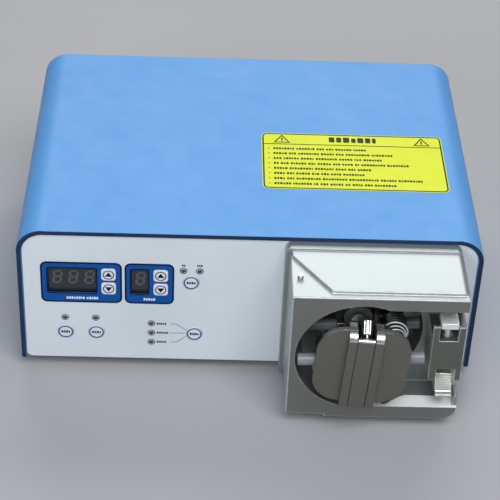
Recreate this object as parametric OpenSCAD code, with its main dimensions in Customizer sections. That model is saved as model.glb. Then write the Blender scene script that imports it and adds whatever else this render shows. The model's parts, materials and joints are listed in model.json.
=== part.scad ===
// Bench-top peristaltic pump: a blue sheet-metal drive unit with a two-roller pump head on
// its front panel. X runs left to right as seen from the front, the front faces -Y, Z is up.
// The origin is on the bench, under the middle of the whole object.

/* [Case] */
// Width of the case
case_w = 290; // [270:1:320]
// Depth of the case
case_d = 212; // [200:1:260]
// Height of the case above its feet
case_h = 102; // [102:1:130]
// Radius of the two long upper corners
corner_r = 16.7; // [8:0.1:24]
// Thickness of the folded cover
cover_t = 1.5; // [1:0.1:2]
// Width of the cover's turned-in lip at the front and the back
lip_w = 3.3; // [2.5:0.1:6]
// Height of the rubber feet
foot_h = 8; // [5:0.5:12]
// How far the rear fittings stand out of the case
rear_reach = 6; // [5:0.5:10]

/* [Front panel] */
// How far the panel lies behind the cover's front edge
panel_recess = 1; // [0.5:0.1:2]
// Thickness of the front and rear panels
panel_t = 2; // [1.5:0.1:3]
// Side of the square keys
square_key = 9.2; // [7:0.1:9.4]
// Diameter of the round keys
round_key_d = 10.4; // [8:0.1:12]
// Travel of every key
key_travel = 0.6; // [0.3:0.1:1]

/* [Pump head] */
// Rotor axis, measured from the case's left side
axis_from_left = 213; // [210:1:215]
// Rotor axis, measured from the case's bottom
axis_height = 48.7; // [48:0.1:50]
// Depth of the head housing in front of the panel
head_d = 50; // [48:0.5:50]
// Radius of the tube track
track_r = 40.3; // [40.3:0.1:41]
// Depth of the head at which its open tube channel starts
channel_v = 22; // [21:0.5:23]

/* [Rotor] */
// Angle that the rotor is turned from upright, clockwise seen from the front
rotor_turn = 3.5; // [0:0.5:10]
// Half the width of the rotor's end plates
plate_half_w = 28.7; // [28:0.1:30]
// Half the height of the rotor's end plates
plate_half_h = 28; // [27:0.1:29]
// Radius of the squeezing rollers
main_r = 8.7; // [8:0.1:9]
// Radius of the rollers that guide the tube
guide_r = 3.8; // [3:0.1:4]
// Distance from the rotor axis to the outer end of a guide roller
guide_reach = 38.6; // [36:0.1:39]
// Angle between the guide rollers and the rotor's cross line, their right end up
guide_lean = 6.3; // [0:0.1:8]
// Width of the folding crank bar
crank_w = 10.3; // [8:0.1:10.3]

/* [Tube clamps] */
// Travel of each tube clamp
clamp_travel = 6; // [3:0.5:6]

/* [Hidden] */
$fn = 64;

// Places that the whole model shares
crank_front_v = 62;                              // the frontmost point, in front of the panel
front_y = -(crank_front_v + case_d + rear_reach) / 2 + crank_front_v;
back_y = front_y + case_d;
panel_y = front_y + panel_recess;                // the panel's front face
rear_face_y = back_y - panel_recess;             // the rear panel's outer face
head_x = axis_from_left - case_w / 2;
head_z = axis_height + foot_h;
board_t = 1.6;                                   // thickness of both circuit boards
running = 0.05;                                  // radial clearance of every running fit
slip = 0.15;                                     // gap round a key or a loosely set piece

// Panel layout, measured from the case's lower left corner
field_a = [14.4, 65.2];
field_b = [66.9, 97.8];
field_z = [46.2, 78];
window_a = [19, 49];
window_b = [71, 81.5];
window_z = [54, 73];
key_col_a = 56.85;
key_col_b = 89.45;
key_row_up = 68.8;
key_row_down = 57.9;
shot_at = [29, 22.2];
program_at = [48.6, 22.3];
direction_at = [108.5, 64];
mode_at = [111.1, 22.5];
lamps = [[103.6, 72.9], [113.7, 72.9], [28.9, 33.6], [48.3, 33.6], [83.6, 30], [83.6, 22.3],
    [83.6, 14.6]];
lamp_r = 1.5;
overlay_t = 0.25;
board_y = panel_y + 8.6;                         // the display board's front face
key_proud = key_travel + 0.1;

// Head layout, measured from the rotor axis; v is the distance in front of the panel
flange_x = [-47, 62.4];
flange_z = [-49.5, 49.5];
flange_t = 6.4;
body_x = [-44, 63];
body_z = [-48.8, 48.3];
ledge_z = 46.3;
header_under = 37.3;
floor_top = -38.9;
back_wall_v = 4;
housing_back_v = -panel_recess;
boss_v = -14;
boss_r = 16;
bearing_r = 12;
shaft_r = 7;
motor_face_v = -24;
screw_at = 21.2;
carrier_x = [42.7, 62.5];
carrier_z = [-17.7, 24.3];
carrier_v = 48.5;
upper_gap_x = [46.6, 58.4];
lower_gap_x = [47.3, 58.9];
lower_gap_v = 26;
lug_r = 2;
rail_w = 2.7;
upper_stem_v = 41;
lower_stem_v = 34;
stem_r = 2;
spring_pocket_r = 3.1;
upper_stem_x = 52.3;
lower_stem_x = 53;
upper_pad_z = [21.9, 26.3];
lower_pad_top = -17.2;
stop_gap = 2.3;                                  // left under a clamp that is pressed all the way
upper_notch_z = upper_pad_z[0] - clamp_travel - stop_gap;
lower_notch_z = lower_pad_top + clamp_travel + stop_gap;

// Rotor layout, in the rotor's own upright frame
rear_plate_v = [7, 10.5];
front_plate_v = [54.5, 58];
plate_corner_r = 17;
rib_half_w = 10.75;
rib_w = 5.35;
ear_r = 6;
ear_z = 20.8;                                    // where the round of a hinge ear begins
ear_back_v = 48.5;
arm_pivot = [19, 16];
roller_at = [-5, 27.3];
pivot_r = 3;
axle_r = 2.5;
cheek_rear_v = [18, 20.7];
cheek_front_v = [45.3, 48];
guide_front_v = 50;
guide_rear_v = 17;
guide_inner = 13;
guide_pin_r = 1.5;
hinge_v = 60;
hinge_z = 21.6;
hinge_pin_r = 1;
crank_t = 3.5;
crank_end_z = -30.3;
rib_end = 30;
detent_tilt = 42;

// ---- shared shapes ----
// A flat outline in X and Z, given thickness from y1 back to y0
module across(y0, y1) {
    translate([0, y1, 0]) rotate([90, 0, 0]) linear_extrude(y1 - y0) children();
}

// The same, between two distances in front of the panel, centred on the rotor axis
module head_slab(v0, v1) {
    translate([head_x, 0, head_z]) across(front_y - v1, front_y - v0) children();
}

module at_axis() {
    translate([head_x, front_y, head_z]) children();
}

module in_rotor() {
    at_axis() rotate([0, rotor_turn, 0]) children();
}

// The line of the guide rollers, across the rotor
module along_guides() {
    in_rotor() rotate([0, -guide_lean, 0]) children();
}

module rotor_slab(v0, v1) {
    in_rotor() across(-v1, -v0) children();
}

// A round bar along Y, between two distances in front of the panel
module rod_y(r, v0, v1) {
    translate([0, -v0, 0]) rotate([90, 0, 0]) cylinder(r = r, h = v1 - v0);
}

module on_panel(at) {
    translate([at[0] - case_w / 2, panel_y, at[1] + foot_h]) children();
}

// A rectangle from its limits, with one radius a corner: lower left, lower right, upper right,
// upper left
module outline(x, z, r) {
    corners = [[x[0], z[0], 1, 1], [x[1], z[0], -1, 1], [x[1], z[1], -1, -1], [x[0], z[1], 1, -1]];
    difference() {
        translate([x[0], z[0]]) square([x[1] - x[0], z[1] - z[0]]);
        for (i = [0:3]) if (r[i] > 0) translate([corners[i][0], corners[i][1]])
            scale_sign(corners[i][2], corners[i][3]) difference() {
                translate([-1, -1]) square(r[i] + 1);
                translate([r[i], r[i]]) circle(r[i]);
            }
    }
}

module scale_sign(sx, sz) {
    mirror([sx < 0 ? 1 : 0, 0]) mirror([0, sz < 0 ? 1 : 0]) children();
}

// The case's outline, drawn in by an inset: an arch with round upper corners
module arch(inset, low) {
    outline([inset - case_w / 2, case_w / 2 - inset], [foot_h + low, foot_h + case_h - inset],
        [0, 0, corner_r - inset, corner_r - inset]);
}

module rotor_plate_outline() {
    r = plate_corner_r;
    outline([-plate_half_w, plate_half_w], [-plate_half_h, plate_half_h], [r, r, r, r]);
}

// ---- case ----
side_screw_y = [30, 106, 182];
side_screw_z = 9;
foot_at = [118, 82];

module screw_cone(grow) {
    rotate([0, 90, 0]) cylinder(r1 = 3.6 + grow, r2 = 2.1 + grow, h = cover_t);
}

module side_screw_places() {
    for (side = [0, 1], y = side_screw_y) mirror([side, 0, 0])
        translate([-case_w / 2, front_y + y, foot_h + side_screw_z]) children();
}

module base_plate() {
    inner = case_w / 2 - cover_t - 0.3;
    color("silver") difference() {
        union() {
            translate([-inner, front_y + 3.5, foot_h]) cube([2 * inner, case_d - 7, cover_t]);
            for (side = [0, 1]) mirror([side, 0, 0])
                translate([-inner, front_y + 3.5, foot_h]) cube([cover_t, case_d - 7, 16]);
        }
        side_screw_places() rotate([0, 90, 0]) cylinder(r = 2.05, h = 8);
        for (x = [-foot_at[0], foot_at[0]], y = [-foot_at[1], foot_at[1]])
            translate([x, front_y + case_d / 2 + y, foot_h - 1]) cylinder(r = 2.2, h = 4);
    }
}

module cover() {
    vent_slots = 8;
    vent_pitch = 8;
    color([0.42, 0.66, 0.92]) difference() {
        across(front_y, back_y) arch(0, 0);
        across(front_y + cover_t, back_y - cover_t) arch(cover_t, -1);
        across(front_y - 1, back_y + 1) arch(lip_w, -1);
        side_screw_places() translate([-0.01, 0, 0]) {
            screw_cone(0.1);
            rotate([0, 90, 0]) cylinder(r = 2.2, h = cover_t + 1);
        }
        for (side = [0, 1], i = [0:vent_slots - 1]) mirror([side, 0, 0])
            translate([-case_w / 2 - 1, back_y - 30 - i * vent_pitch, foot_h + 44])
                cube([cover_t + 2, 3, 28]);
    }
}

module cover_screws() {
    color("dimgray") side_screw_places() difference() {
        union() {
            screw_cone(0);
            rotate([0, 90, 0]) cylinder(r = 1.9, h = 9);
        }
        translate([-1, 0, 0]) rotate([0, 90, 0]) cylinder(r = 1.2, h = 1.8, $fn = 6);
    }
}

module rubber_feet() {
    color([0.08, 0.08, 0.08])
        for (x = [-foot_at[0], foot_at[0]], y = [-foot_at[1], foot_at[1]])
            translate([x, front_y + case_d / 2 + y, 0]) difference() {
                union() {
                    cylinder(r1 = 8, r2 = 9.5, h = foot_h);
                    cylinder(r = 2.1, h = foot_h + 3);
                }
                translate([0, 0, -1]) cylinder(r = 3.2, h = 2.5);
            }
}

// ---- front panel ----
module window_opening(x, grow) {
    outline([x[0] - case_w / 2 - grow, x[1] - case_w / 2 + grow],
        [window_z[0] + foot_h - grow, window_z[1] + foot_h + grow], [1, 1, 1, 1]);
}

module square_keys_at() {
    for (x = [key_col_a, key_col_b], z = [key_row_up, key_row_down])
        translate([x - case_w / 2, z + foot_h]) children();
}

module round_keys_at() {
    for (at = [shot_at, program_at, direction_at, mode_at])
        translate([at[0] - case_w / 2, at[1] + foot_h]) children();
}

module lamps_at() {
    for (at = lamps) translate([at[0] - case_w / 2, at[1] + foot_h]) children();
}

module panel_holes(grow) {
    window_opening(window_a, 0);
    window_opening(window_b, 0);
    square_keys_at() square(square_key + 2 * slip, center = true);
    round_keys_at() circle(d = round_key_d + 2 * slip);
    lamps_at() circle(lamp_r + grow);
}

module panel_plate(inset) {
    r = corner_r - inset;
    outline([inset - case_w / 2, case_w / 2 - inset], [foot_h + 0.6, foot_h + case_h - inset], [4, 4, r, r]);
}

module front_panel() {
    color([0.77, 0.8, 0.85]) difference() {
        across(panel_y, panel_y + panel_t) panel_plate(lip_w + slip);
        across(panel_y - 1, panel_y + panel_t + 1) panel_holes(running);
        head_slab(-panel_recess - panel_t - 1, 1) {
            circle(boss_r + 0.5);
            for (x = [-screw_at, screw_at], z = [-screw_at, screw_at]) translate([x, z]) circle(2.8);
        }
    }
}

module panel_overlay() {
    color([0.1, 0.38, 0.72]) difference() {
        across(panel_y - overlay_t, panel_y) for (x = [field_a, field_b])
            outline([x[0] - case_w / 2, x[1] - case_w / 2], [field_z[0] + foot_h, field_z[1] + foot_h],
                [4, 4, 4, 4]);
        across(panel_y - 1, panel_y + 1) panel_holes(running);
    }
}

module display_windows() {
    window_t = 1;
    window_lap = 1.2;
    color([0.2, 0.2, 0.21]) across(panel_y + panel_t, panel_y + panel_t + window_t) {
        window_opening(window_a, window_lap);
        window_opening(window_b, window_lap);
    }
}

module digit_displays() {
    module_depth = 5.2;
    module_size = [9.6, 16];
    middle_z = 64 + foot_h;
    color([0.3, 0.3, 0.3]) across(board_y - module_depth, board_y) {
        for (x = [24.2, 34.2, 44.2, 76.2]) translate([x - case_w / 2, middle_z])
            square(module_size, center = true);
    }
}

module indicator_lights() {
    dome_proud = 0.8;
    color([0.85, 0.85, 0.82]) for (at = lamps) on_panel(at) {
        rotate([-90, 0, 0]) cylinder(r = lamp_r, h = 6);
        intersection() {
            scale([1, dome_proud / lamp_r, 1]) sphere(lamp_r);
            translate([-2, -2, -2]) cube([4, 2, 4]);
        }
    }
}

module display_board() {
    color([0.1, 0.35, 0.2]) across(board_y, board_y + board_t) difference() {
        outline([-132, -20], [foot_h + 8, foot_h + 84], [2, 2, 2, 2]);
        for (x = display_hole_x, z = display_hole_z) translate([x, foot_h + z]) circle(board_hole_r);
    }
}

module square_key_cap(at) {
    color("white") on_panel(at) rotate([90, 0, 0]) translate([0, 0, -panel_t])
        linear_extrude(panel_t + key_proud) square(square_key, center = true);
}

module round_key_cap(at) {
    color("white") on_panel(at) rod_y(round_key_d / 2, -panel_t, key_proud);
}

module angle_up_key() { square_key_cap([key_col_a, key_row_up]); }
module angle_down_key() { square_key_cap([key_col_a, key_row_down]); }
module speed_up_key() { square_key_cap([key_col_b, key_row_up]); }
module speed_down_key() { square_key_cap([key_col_b, key_row_down]); }
module shot_key() { round_key_cap(shot_at); }
module program_key() { round_key_cap(program_at); }
module direction_key() { round_key_cap(direction_at); }
module mode_key() { round_key_cap(mode_at); }

// ---- inside the case ----
control_board_at = [-120, 30];                   // left edge, and distance behind the case's front
control_board_size = [100, 80];
control_board_z = 12;                            // above the case's bottom
board_hole_in = 5;
board_hole_r = 1.7;
standoff_r = 3;
display_hole_x = [-128, -24];
display_hole_z = [12, 80];

module control_board() {
    w = control_board_size[0];
    d = control_board_size[1];
    at = [control_board_at[0], front_y + control_board_at[1], foot_h + control_board_z];
    color([0.1, 0.35, 0.2]) translate(at)
        difference() {
            union() {
                cube([w, d, board_t]);
                translate([10, 10, board_t]) processor();
                translate([40, 12, board_t]) relay();
                translate([8, 55, board_t]) terminal_strip();
                for (y = [20, 38]) translate([82, y, board_t]) capacitor();
            }
            for (x = [board_hole_in, w - board_hole_in], y = [board_hole_in, d - board_hole_in])
                translate([x, y, -1]) cylinder(r = board_hole_r, h = board_t + 2);
        }
}

module processor() { cube([18, 18, 3]); }
module relay() { cube([30, 12, 9]); }
module terminal_strip() { cube([60, 14, 11]); }
module capacitor() { cylinder(r = 6, h = 16); }

module board_standoffs() {
    left = control_board_at[0] + board_hole_in;
    right = control_board_at[0] + control_board_size[0] - board_hole_in;
    near = control_board_at[1] + board_hole_in;
    far = control_board_at[1] + control_board_size[1] - board_hole_in;
    color("goldenrod") {
        for (x = [left, right], y = [near, far])
            translate([x, front_y + y, foot_h + cover_t])
                cylinder(r = standoff_r, h = control_board_z - cover_t);
        for (x = display_hole_x, z = display_hole_z) translate([x, panel_y + panel_t, foot_h + z])
            rotate([-90, 0, 0]) cylinder(r = standoff_r, h = board_y - panel_y - panel_t);
    }
}

module power_supply() {
    box = [104, 62, 34];
    wall = 1.5;
    slots = 8;
    slot_pitch = 11;
    color([0.6, 0.6, 0.62]) translate([-125, front_y + 118, foot_h + cover_t]) difference() {
        cube(box);
        translate([wall, wall, wall]) cube([box[0] - 2 * wall, box[1], box[2]]);
        for (i = [0:slots - 1]) translate([12 + slot_pitch * i, -1, 10]) cube([4, wall + 2, 16]);
    }
}

module motor_body() {
    gearbox_end_v = -58;
    motor_end_v = -114;
    color([0.25, 0.25, 0.27]) difference() {
        union() {
            head_slab(gearbox_end_v, motor_face_v) circle(28);
            head_slab(motor_end_v, gearbox_end_v) outline([-28.5, 28.5], [-28.5, 28.5], [5, 5, 5, 5]);
        }
        at_axis() rod_y(shaft_r + 0.3, motor_face_v - 10, motor_face_v + 1);
    }
}

module motor_bracket() {
    foot_len = 40;
    plate_t = 4;
    color("silver") difference() {
        union() {
            head_slab(motor_face_v, motor_face_v + plate_t)
                outline([-34, 34], [cover_t - axis_height, 34], [0, 0, 4, 4]);
            translate([head_x - 34, front_y - motor_face_v, foot_h + cover_t]) cube([68, foot_len, plate_t]);
        }
        at_axis() rod_y(boss_r + 0.5, motor_face_v - 1, motor_face_v + plate_t + 1);
        for (x = [-screw_at, screw_at], z = [-screw_at, screw_at])
            at_axis() translate([x, 0, z]) rod_y(2.1, motor_face_v - 1, motor_face_v + plate_t + 1);
    }
}

module drive_bearing() {
    color("silver") at_axis() difference() {
        rod_y(bearing_r - 0.01, -13, -5);
        rod_y(shaft_r + 0.01, -14, -4);
        for (v = [-14, -5.6]) difference() {
            rod_y(bearing_r - 1.5, v, v + 1.6);
            rod_y(shaft_r + 1.5, v - 1, v + 3);
        }
    }
}

// ---- rear panel ----
fan_at = [80, 51];
fan_half = 30;
fan_r = 27.5;
fan_depth = 20;
fan_screw = 25;                                  // its four screws, from the fan's middle
fan_axle_r = 1.5;
inlet_at = [-92, 38];
inlet_w = 56;
inlet_h = 50;
bezel_t = 3;
rocker_at = inlet_at + [17, 2];
rocker_w = 13;
rocker_h = 19;
rocker_pivot_depth = 5;
socket_at = inlet_at + [-9, 8];
fuse_at = inlet_at + [-9, -14];
jack_at = [-30, 40];
jack_bore_r = 3.25;

// A place on the rear panel's outer face, with +Y pointing out of the case
module on_rear(at) {
    translate([at[0], rear_face_y, at[1] + foot_h]) children();
}

module rear_slab(at, back, out) {
    on_rear(at) across(-back, out) children();
}

module rear_panel() {
    color([0.77, 0.8, 0.85]) difference() {
        across(rear_face_y - panel_t, rear_face_y) panel_plate(lip_w + slip);
        rear_slab(fan_at, 5, 1) circle(fan_r);
        rear_slab(fan_at, 5, 1) fan_screw_places() circle(2);
        rear_slab(inlet_at, 5, 1) square([inlet_w - 5.8, inlet_h - 5.8], center = true);
        rear_slab(jack_at, 5, 1) circle(6.1);
    }
}

module fan_screw_places() {
    for (x = [-fan_screw, fan_screw], z = [-fan_screw, fan_screw]) translate([x, z]) children();
}

module fan_frame() {
    color([0.1, 0.1, 0.1]) difference() {
        union() {
            difference() {
                rear_slab(fan_at, panel_t + fan_depth, -panel_t)
                    outline([-fan_half, fan_half], [-fan_half, fan_half], [4, 4, 4, 4]);
                rear_slab(fan_at, panel_t + fan_depth + 1, -panel_t + 1) circle(fan_r);
            }
            rear_slab(fan_at, panel_t + fan_depth, -panel_t - fan_depth + 3) {
                circle(12);
                for (a = [45:90:315]) rotate(a) translate([10, -1.5]) square([18.5, 3]);
            }
            on_rear(fan_at) translate([0, -panel_t - 4, 0])
                rotate([90, 0, 0]) cylinder(r = fan_axle_r, h = 15);
        }
        rear_slab(fan_at, fan_depth + 10, 1) fan_screw_places() circle(2);
    }
}

module fan_blades() {
    blades = 7;
    color([0.12, 0.12, 0.12]) on_rear(fan_at) translate([0, -panel_t - 3, 0]) difference() {
        union() {
            rotate([90, 0, 0]) cylinder(r = 11, h = 13);
            for (i = [0:blades - 1]) rotate([0, i * 360 / blades, 0])
                translate([0, -6.5, 10]) rotate([0, 0, 38]) translate([-7, -0.8, 0]) cube([14, 1.6, 14]);
        }
        rotate([90, 0, 0]) translate([0, 0, -1]) cylinder(r = fan_axle_r + running, h = 20);
    }
}

module fan_guard() {
    color("silver") on_rear(fan_at) difference() {
        union() {
            for (r = [5:4:29]) translate([0, 2.2, 0]) rotate([-90, 0, 0])
                rotate_extrude() translate([r, 0]) circle(0.8);
            for (a = [45, 135]) rotate([0, a, 0]) translate([-36, 1.2, -0.8]) cube([72, 1.4, 1.6]);
            for (x = [-fan_screw, fan_screw], z = [-fan_screw, fan_screw]) translate([x, 0, z])
                rotate([-90, 0, 0]) cylinder(r = 3.4, h = 2.4);
        }
        for (x = [-fan_screw, fan_screw], z = [-fan_screw, fan_screw]) translate([x, -1, z])
            rotate([-90, 0, 0]) cylinder(r = 1.2, h = 10, $fn = 6);
    }
}

module mains_inlet() {
    color([0.1, 0.1, 0.11]) {
        difference() {
            union() {
                rear_slab(inlet_at, 0, bezel_t)
                    outline([-inlet_w / 2, inlet_w / 2], [-inlet_h / 2, inlet_h / 2], [3, 3, 3, 3]);
                rear_slab(inlet_at, 28, 0) square([inlet_w - 6.4, inlet_h - 6.4], center = true);
            }
            rear_slab(socket_at, 17, bezel_t + 1)
                outline([-12.4, 12.4], [-8.4, 8.4], [0, 0, 4, 4]);
            rear_slab(fuse_at, 24, bezel_t + 1)
                square([25.2, 9.2], center = true);
            rear_slab(rocker_at, 20, bezel_t + 1)
                square([rocker_w + 0.8, rocker_h + 0.8], center = true);
        }
        for (blade = [[-7, -2], [7, -2], [0, 3]])
            rear_slab(socket_at + blade, 18, -3) square([2, 4], center = true);
        rear_slab(rocker_at, rocker_pivot_depth + 1, 1 - rocker_pivot_depth)
            square([rocker_w + 1, 1.6], center = true);
    }
}

module rocker_switch() {
    swing_r = 10.4;
    half_h = 8.4;
    rest_tilt = 6;
    crown = 8.2;
    color([0.75, 0.1, 0.08]) on_rear(rocker_at) translate([0, -rocker_pivot_depth, 0])
        rotate([0, -90, 0]) linear_extrude(rocker_w, center = true) difference() {
            intersection() {
                circle(swing_r);
                translate([-half_h, 0]) square([2 * half_h, swing_r]);
                rotate(rest_tilt) translate([-12, -5]) square([24, 5 + crown]);
            }
            circle(1.4);
        }
}

module fuse_drawer() {
    color([0.13, 0.13, 0.14]) union() {
        rear_slab(fuse_at, 22, bezel_t + 0.6) square([24.6, 8.6], center = true);
        rear_slab(fuse_at + [0, 1.6], -bezel_t, bezel_t + 1.6) square([10, 1.4], center = true);
    }
}

module footswitch_socket() {
    color([0.14, 0.14, 0.15]) difference() {
        union() {
            rear_slab(jack_at, 0, rear_reach + panel_recess) circle(9);
            rear_slab(jack_at, 16, 0) circle(6);
        }
        rear_slab(jack_at, 8, rear_reach + panel_recess + 1) circle(jack_bore_r);
    }
}

// ---- label on the cover ----
module top_label() {
    label_t = 0.15;
    color([0.92, 0.96, 0.25]) translate([0, 0, foot_h + case_h]) linear_extrude(label_t)
        outline([152.5 - case_w / 2, 272.5 - case_w / 2], [front_y + 51.5, front_y + 116], [4, 4, 4, 4]);
}

// ---- pump housing ----
// The three-cornered shelf that carries a hinge stub, cut down from the housing's top
shelf_right = -20.1;
shelf_back_v = 9;
ledge_w = 4.5;
lower_shelf_z = -46.8;

module shelf_cut() {
    linear_extrude(20) polygon([[body_x[0] - 1, -shelf_back_v], [shelf_right, -head_d + ledge_w],
        [shelf_right, -head_d - 1], [body_x[0] - 1, -head_d - 1]]);
}

// The sunk part of the channel's floor, seen from above; its front edge leaves a lip that widens
// to the right
pocket_deep = 2.6;

module floor_pocket() {
    lip_edge = [[70, -39], [31, -39], [27, -41], [23, -44], [18, -48], [16, -48]];
    polygon(concat([[16, -channel_v], [70, -channel_v]], lip_edge));
}

module pump_housing() {
    color([0.82, 0.84, 0.84]) difference() {
        union() {
            head_slab(housing_back_v, flange_t) outline(flange_x, flange_z, [4, 4, 4, 4]);
            head_slab(0, head_d) outline(body_x, body_z, [3, 9, 5, 2]);
            at_axis() rod_y(boss_r, boss_v, 0);
        }
        difference() {
            union() {
                head_slab(back_wall_v, head_d + 1) circle(track_r);
                head_slab(channel_v, head_d + 1) outline([0, 70], [floor_top, header_under], [0, 0, 0, 0]);
                at_axis() translate([0, 0, floor_top - pocket_deep]) linear_extrude(10) floor_pocket();
            }
            head_slab(head_d - 13, head_d - 2)
                outline([60.2, body_x[1]], [floor_top - 4, floor_top + 8], [0, 0, 1, 1]);
        }
        at_axis() {
            translate([0, 0, ledge_z]) shelf_cut();
            translate([shelf_right - 1, -head_d - 1, ledge_z]) cube([90, ledge_w + 1, 20]);
            translate([0, 0, lower_shelf_z]) mirror([0, 0, 1]) shelf_cut();
            translate([stub_at[0], stub_at[1], ledge_z - spigot_h]) cylinder(r = spigot_r, h = 9);
            translate([stub_at[0], stub_at[1], lower_shelf_z - 5]) cylinder(r = spigot_r, h = 5 + spigot_h);
        }
        at_axis() rod_y(shaft_r + 1.5, boss_v - 1, back_wall_v + 1);
        at_axis() rod_y(bearing_r, boss_v - 1, -4);
        for (x = [-screw_at, screw_at], z = [-screw_at, screw_at]) at_axis() translate([x, 0, z]) {
            rod_y(2.6, housing_back_v - 1, back_wall_v + 1);
            rod_y(4.6, back_wall_v - 3, back_wall_v + 1);
        }
    }
}

module housing_screws() {
    color("dimgray") for (x = [-screw_at, screw_at], z = [-screw_at, screw_at])
        at_axis() translate([x, 0, z]) difference() {
            union() {
                rod_y(4.4, back_wall_v - 2.9, back_wall_v - 0.1);
                rod_y(2, motor_face_v, back_wall_v - 2);
            }
            rod_y(1.7, back_wall_v - 1.8, back_wall_v + 1, $fn = 6);
        }
}

// The hinge stubs of the guard: each has a thin spigot in the housing and stands on a shelf
stub_r = 1.8;
stub_h = 2.6;
spigot_r = 1.2;
spigot_h = 3;
stub_at = [-38.7, -31.5];

module guard_stub() {
    cylinder(r = stub_r, h = stub_h);
    translate([0, 0, -spigot_h]) cylinder(r = spigot_r, h = spigot_h + 1);
}

module guard_stubs() {
    color("silver") at_axis() translate([stub_at[0], stub_at[1], 0]) {
        translate([0, 0, ledge_z]) guard_stub();
        translate([0, 0, lower_shelf_z]) mirror([0, 0, 1]) guard_stub();
    }
}

// ---- tube clamps ----
// The block that carries both clamps: two round-topped lugs at the front of its top, and a rail
// that runs back from the right one
module clamp_carrier() {
    color([0.7, 0.71, 0.7]) difference() {
        union() {
            head_slab(channel_v, carrier_v) outline(carrier_x, [carrier_z[0], upper_notch_z], [1, 1, 0, 0]);
            at_axis() {
                carrier_lug(carrier_x[0], upper_gap_x[0]);
                carrier_lug(upper_gap_x[1], carrier_x[1]);
            }
            head_slab(channel_v, carrier_v - lug_r)
                outline([carrier_x[1] - rail_w, carrier_x[1]],
                    [upper_notch_z - 1, carrier_z[1]], [0, 0, 1, 0]);
        }
        head_slab(lower_gap_v, carrier_v + 1) outline(lower_gap_x, [-20, lower_notch_z], [0, 0, 0, 0]);
        at_axis() {
            translate([upper_stem_x, -upper_stem_v, -3]) cylinder(r = spring_pocket_r, h = 20);
            translate([lower_stem_x, -lower_stem_v, -12]) cylinder(r = spring_pocket_r, h = 20);
        }
    }
}

module carrier_lug(x0, x1) {
    middle_v = carrier_v - lug_r;
    middle_z = carrier_z[1] - lug_r;
    translate([x0, 0, 0]) rotate([90, 0, 90]) linear_extrude(x1 - x0) {
        translate([-carrier_v, upper_notch_z - 1]) square([2 * lug_r, middle_z - upper_notch_z + 1]);
        translate([-middle_v, middle_z]) circle(lug_r);
    }
}

module upper_clamp() {
    color([0.86, 0.87, 0.88]) at_axis() {
        across(-47.6, -36.6) outline([47, 58], upper_pad_z, [0.8, 0.8, 0.8, 0.8]);
        translate([upper_stem_x, -upper_stem_v, 9]) cylinder(r = stem_r, h = 14);
        translate([upper_stem_x, -upper_stem_v, 9]) cylinder(r = spring_pocket_r - running, h = 3);
    }
}

module lower_clamp() {
    color([0.8, 0.8, 0.78]) at_axis() {
        translate([48, 0, 0]) rotate([90, 0, 90]) linear_extrude(10.4)
            polygon([[-29, lower_pad_top], [-42.5, lower_pad_top], [-48.6, -26.6], [-51.4, -27.4],
                [-51.4, -29.5], [-29, -29.5]]);
        translate([lower_stem_x, -lower_stem_v, -19]) cylinder(r = stem_r, h = 15);
        translate([lower_stem_x, -lower_stem_v, -7]) cylinder(r = spring_pocket_r - running, h = 3);
    }
}

module coil_stand_in(r_out, r_in, h) {
    difference() {
        cylinder(r = r_out, h = h);
        translate([0, 0, -1]) cylinder(r = r_in, h = h + 2);
    }
}

module upper_clamp_spring() {
    color("silver") at_axis() translate([upper_stem_x, -upper_stem_v, -2.9]) coil_stand_in(2.7, 1.9, 11.8);
}

module lower_clamp_spring() {
    color("silver") at_axis() translate([lower_stem_x, -lower_stem_v, -3.9]) coil_stand_in(2.7, 1.9, 11.8);
}

// ---- rotor ----
module drive_shaft() {
    color("silver") at_axis() rod_y(shaft_r, motor_face_v - 9, 40);
}

// The direction along the detent, from the crank's hinge up and back into the head
module along_detent() {
    in_rotor() translate([0, -hinge_v, hinge_z]) rotate([-(90 - detent_tilt), 0, 0]) children();
}

module rotor_hub() {
    color([0.6, 0.6, 0.58]) difference() {
        union() {
            rotor_slab(rear_plate_v[1], front_plate_v[0]) outline([-9, 9], [-12, 12], [2, 2, 2, 2]);
            rotor_slab(49, front_plate_v[0]) outline([-3.3, 3.3], [11, 27], [0, 0, 0, 0]);
        }
        in_rotor() rod_y(shaft_r, rear_plate_v[0], 41);
        along_detent() cylinder(r = 2.35, h = 30);
        along_guides() for (v = [guide_front_v, guide_rear_v]) translate([-12, -v, 0])
            rotate([0, 90, 0]) cylinder(r = guide_pin_r, h = 24);
    }
}

module rotor_front_plate() {
    color([0.38, 0.38, 0.36]) difference() {
        union() {
            rotor_slab(front_plate_v[0], front_plate_v[1]) rotor_plate_outline();
            in_rotor() for (x = [-rib_half_w, rib_half_w - rib_w]) translate([x, 0, 0]) rib();
        }
        rotor_slab(front_plate_v[0] - 1, front_plate_v[1] + 1) outline([-5.4, 5.4], [19, 30], [0, 0, 0, 0]);
        in_rotor() translate([-12, -hinge_v, hinge_z]) rotate([0, 90, 0]) cylinder(r = hinge_pin_r, h = 24);
        in_rotor() for (s = [-1, 1]) translate([s * arm_pivot[0], 0, s * arm_pivot[1]])
            rod_y(pivot_r, front_plate_v[0] - 1, 56);
    }
}

// One rib beside the crank, with a rounded ear at the hinge
module rib() {
    ear_middle_v = crank_front_v - ear_r;
    rotate([90, 0, 90]) linear_extrude(rib_w) {
        translate([-crank_front_v, -rib_end]) square([crank_front_v - front_plate_v[0], rib_end + ear_z]);
        intersection() {
            translate([-ear_middle_v, ear_z]) circle(ear_r);
            translate([-crank_front_v, ear_z - 1]) square([ear_r, ear_r + 2]);
        }
        translate([-ear_middle_v, ear_z - 1]) square([ear_middle_v - ear_back_v, ear_r + 1]);
    }
}

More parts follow.
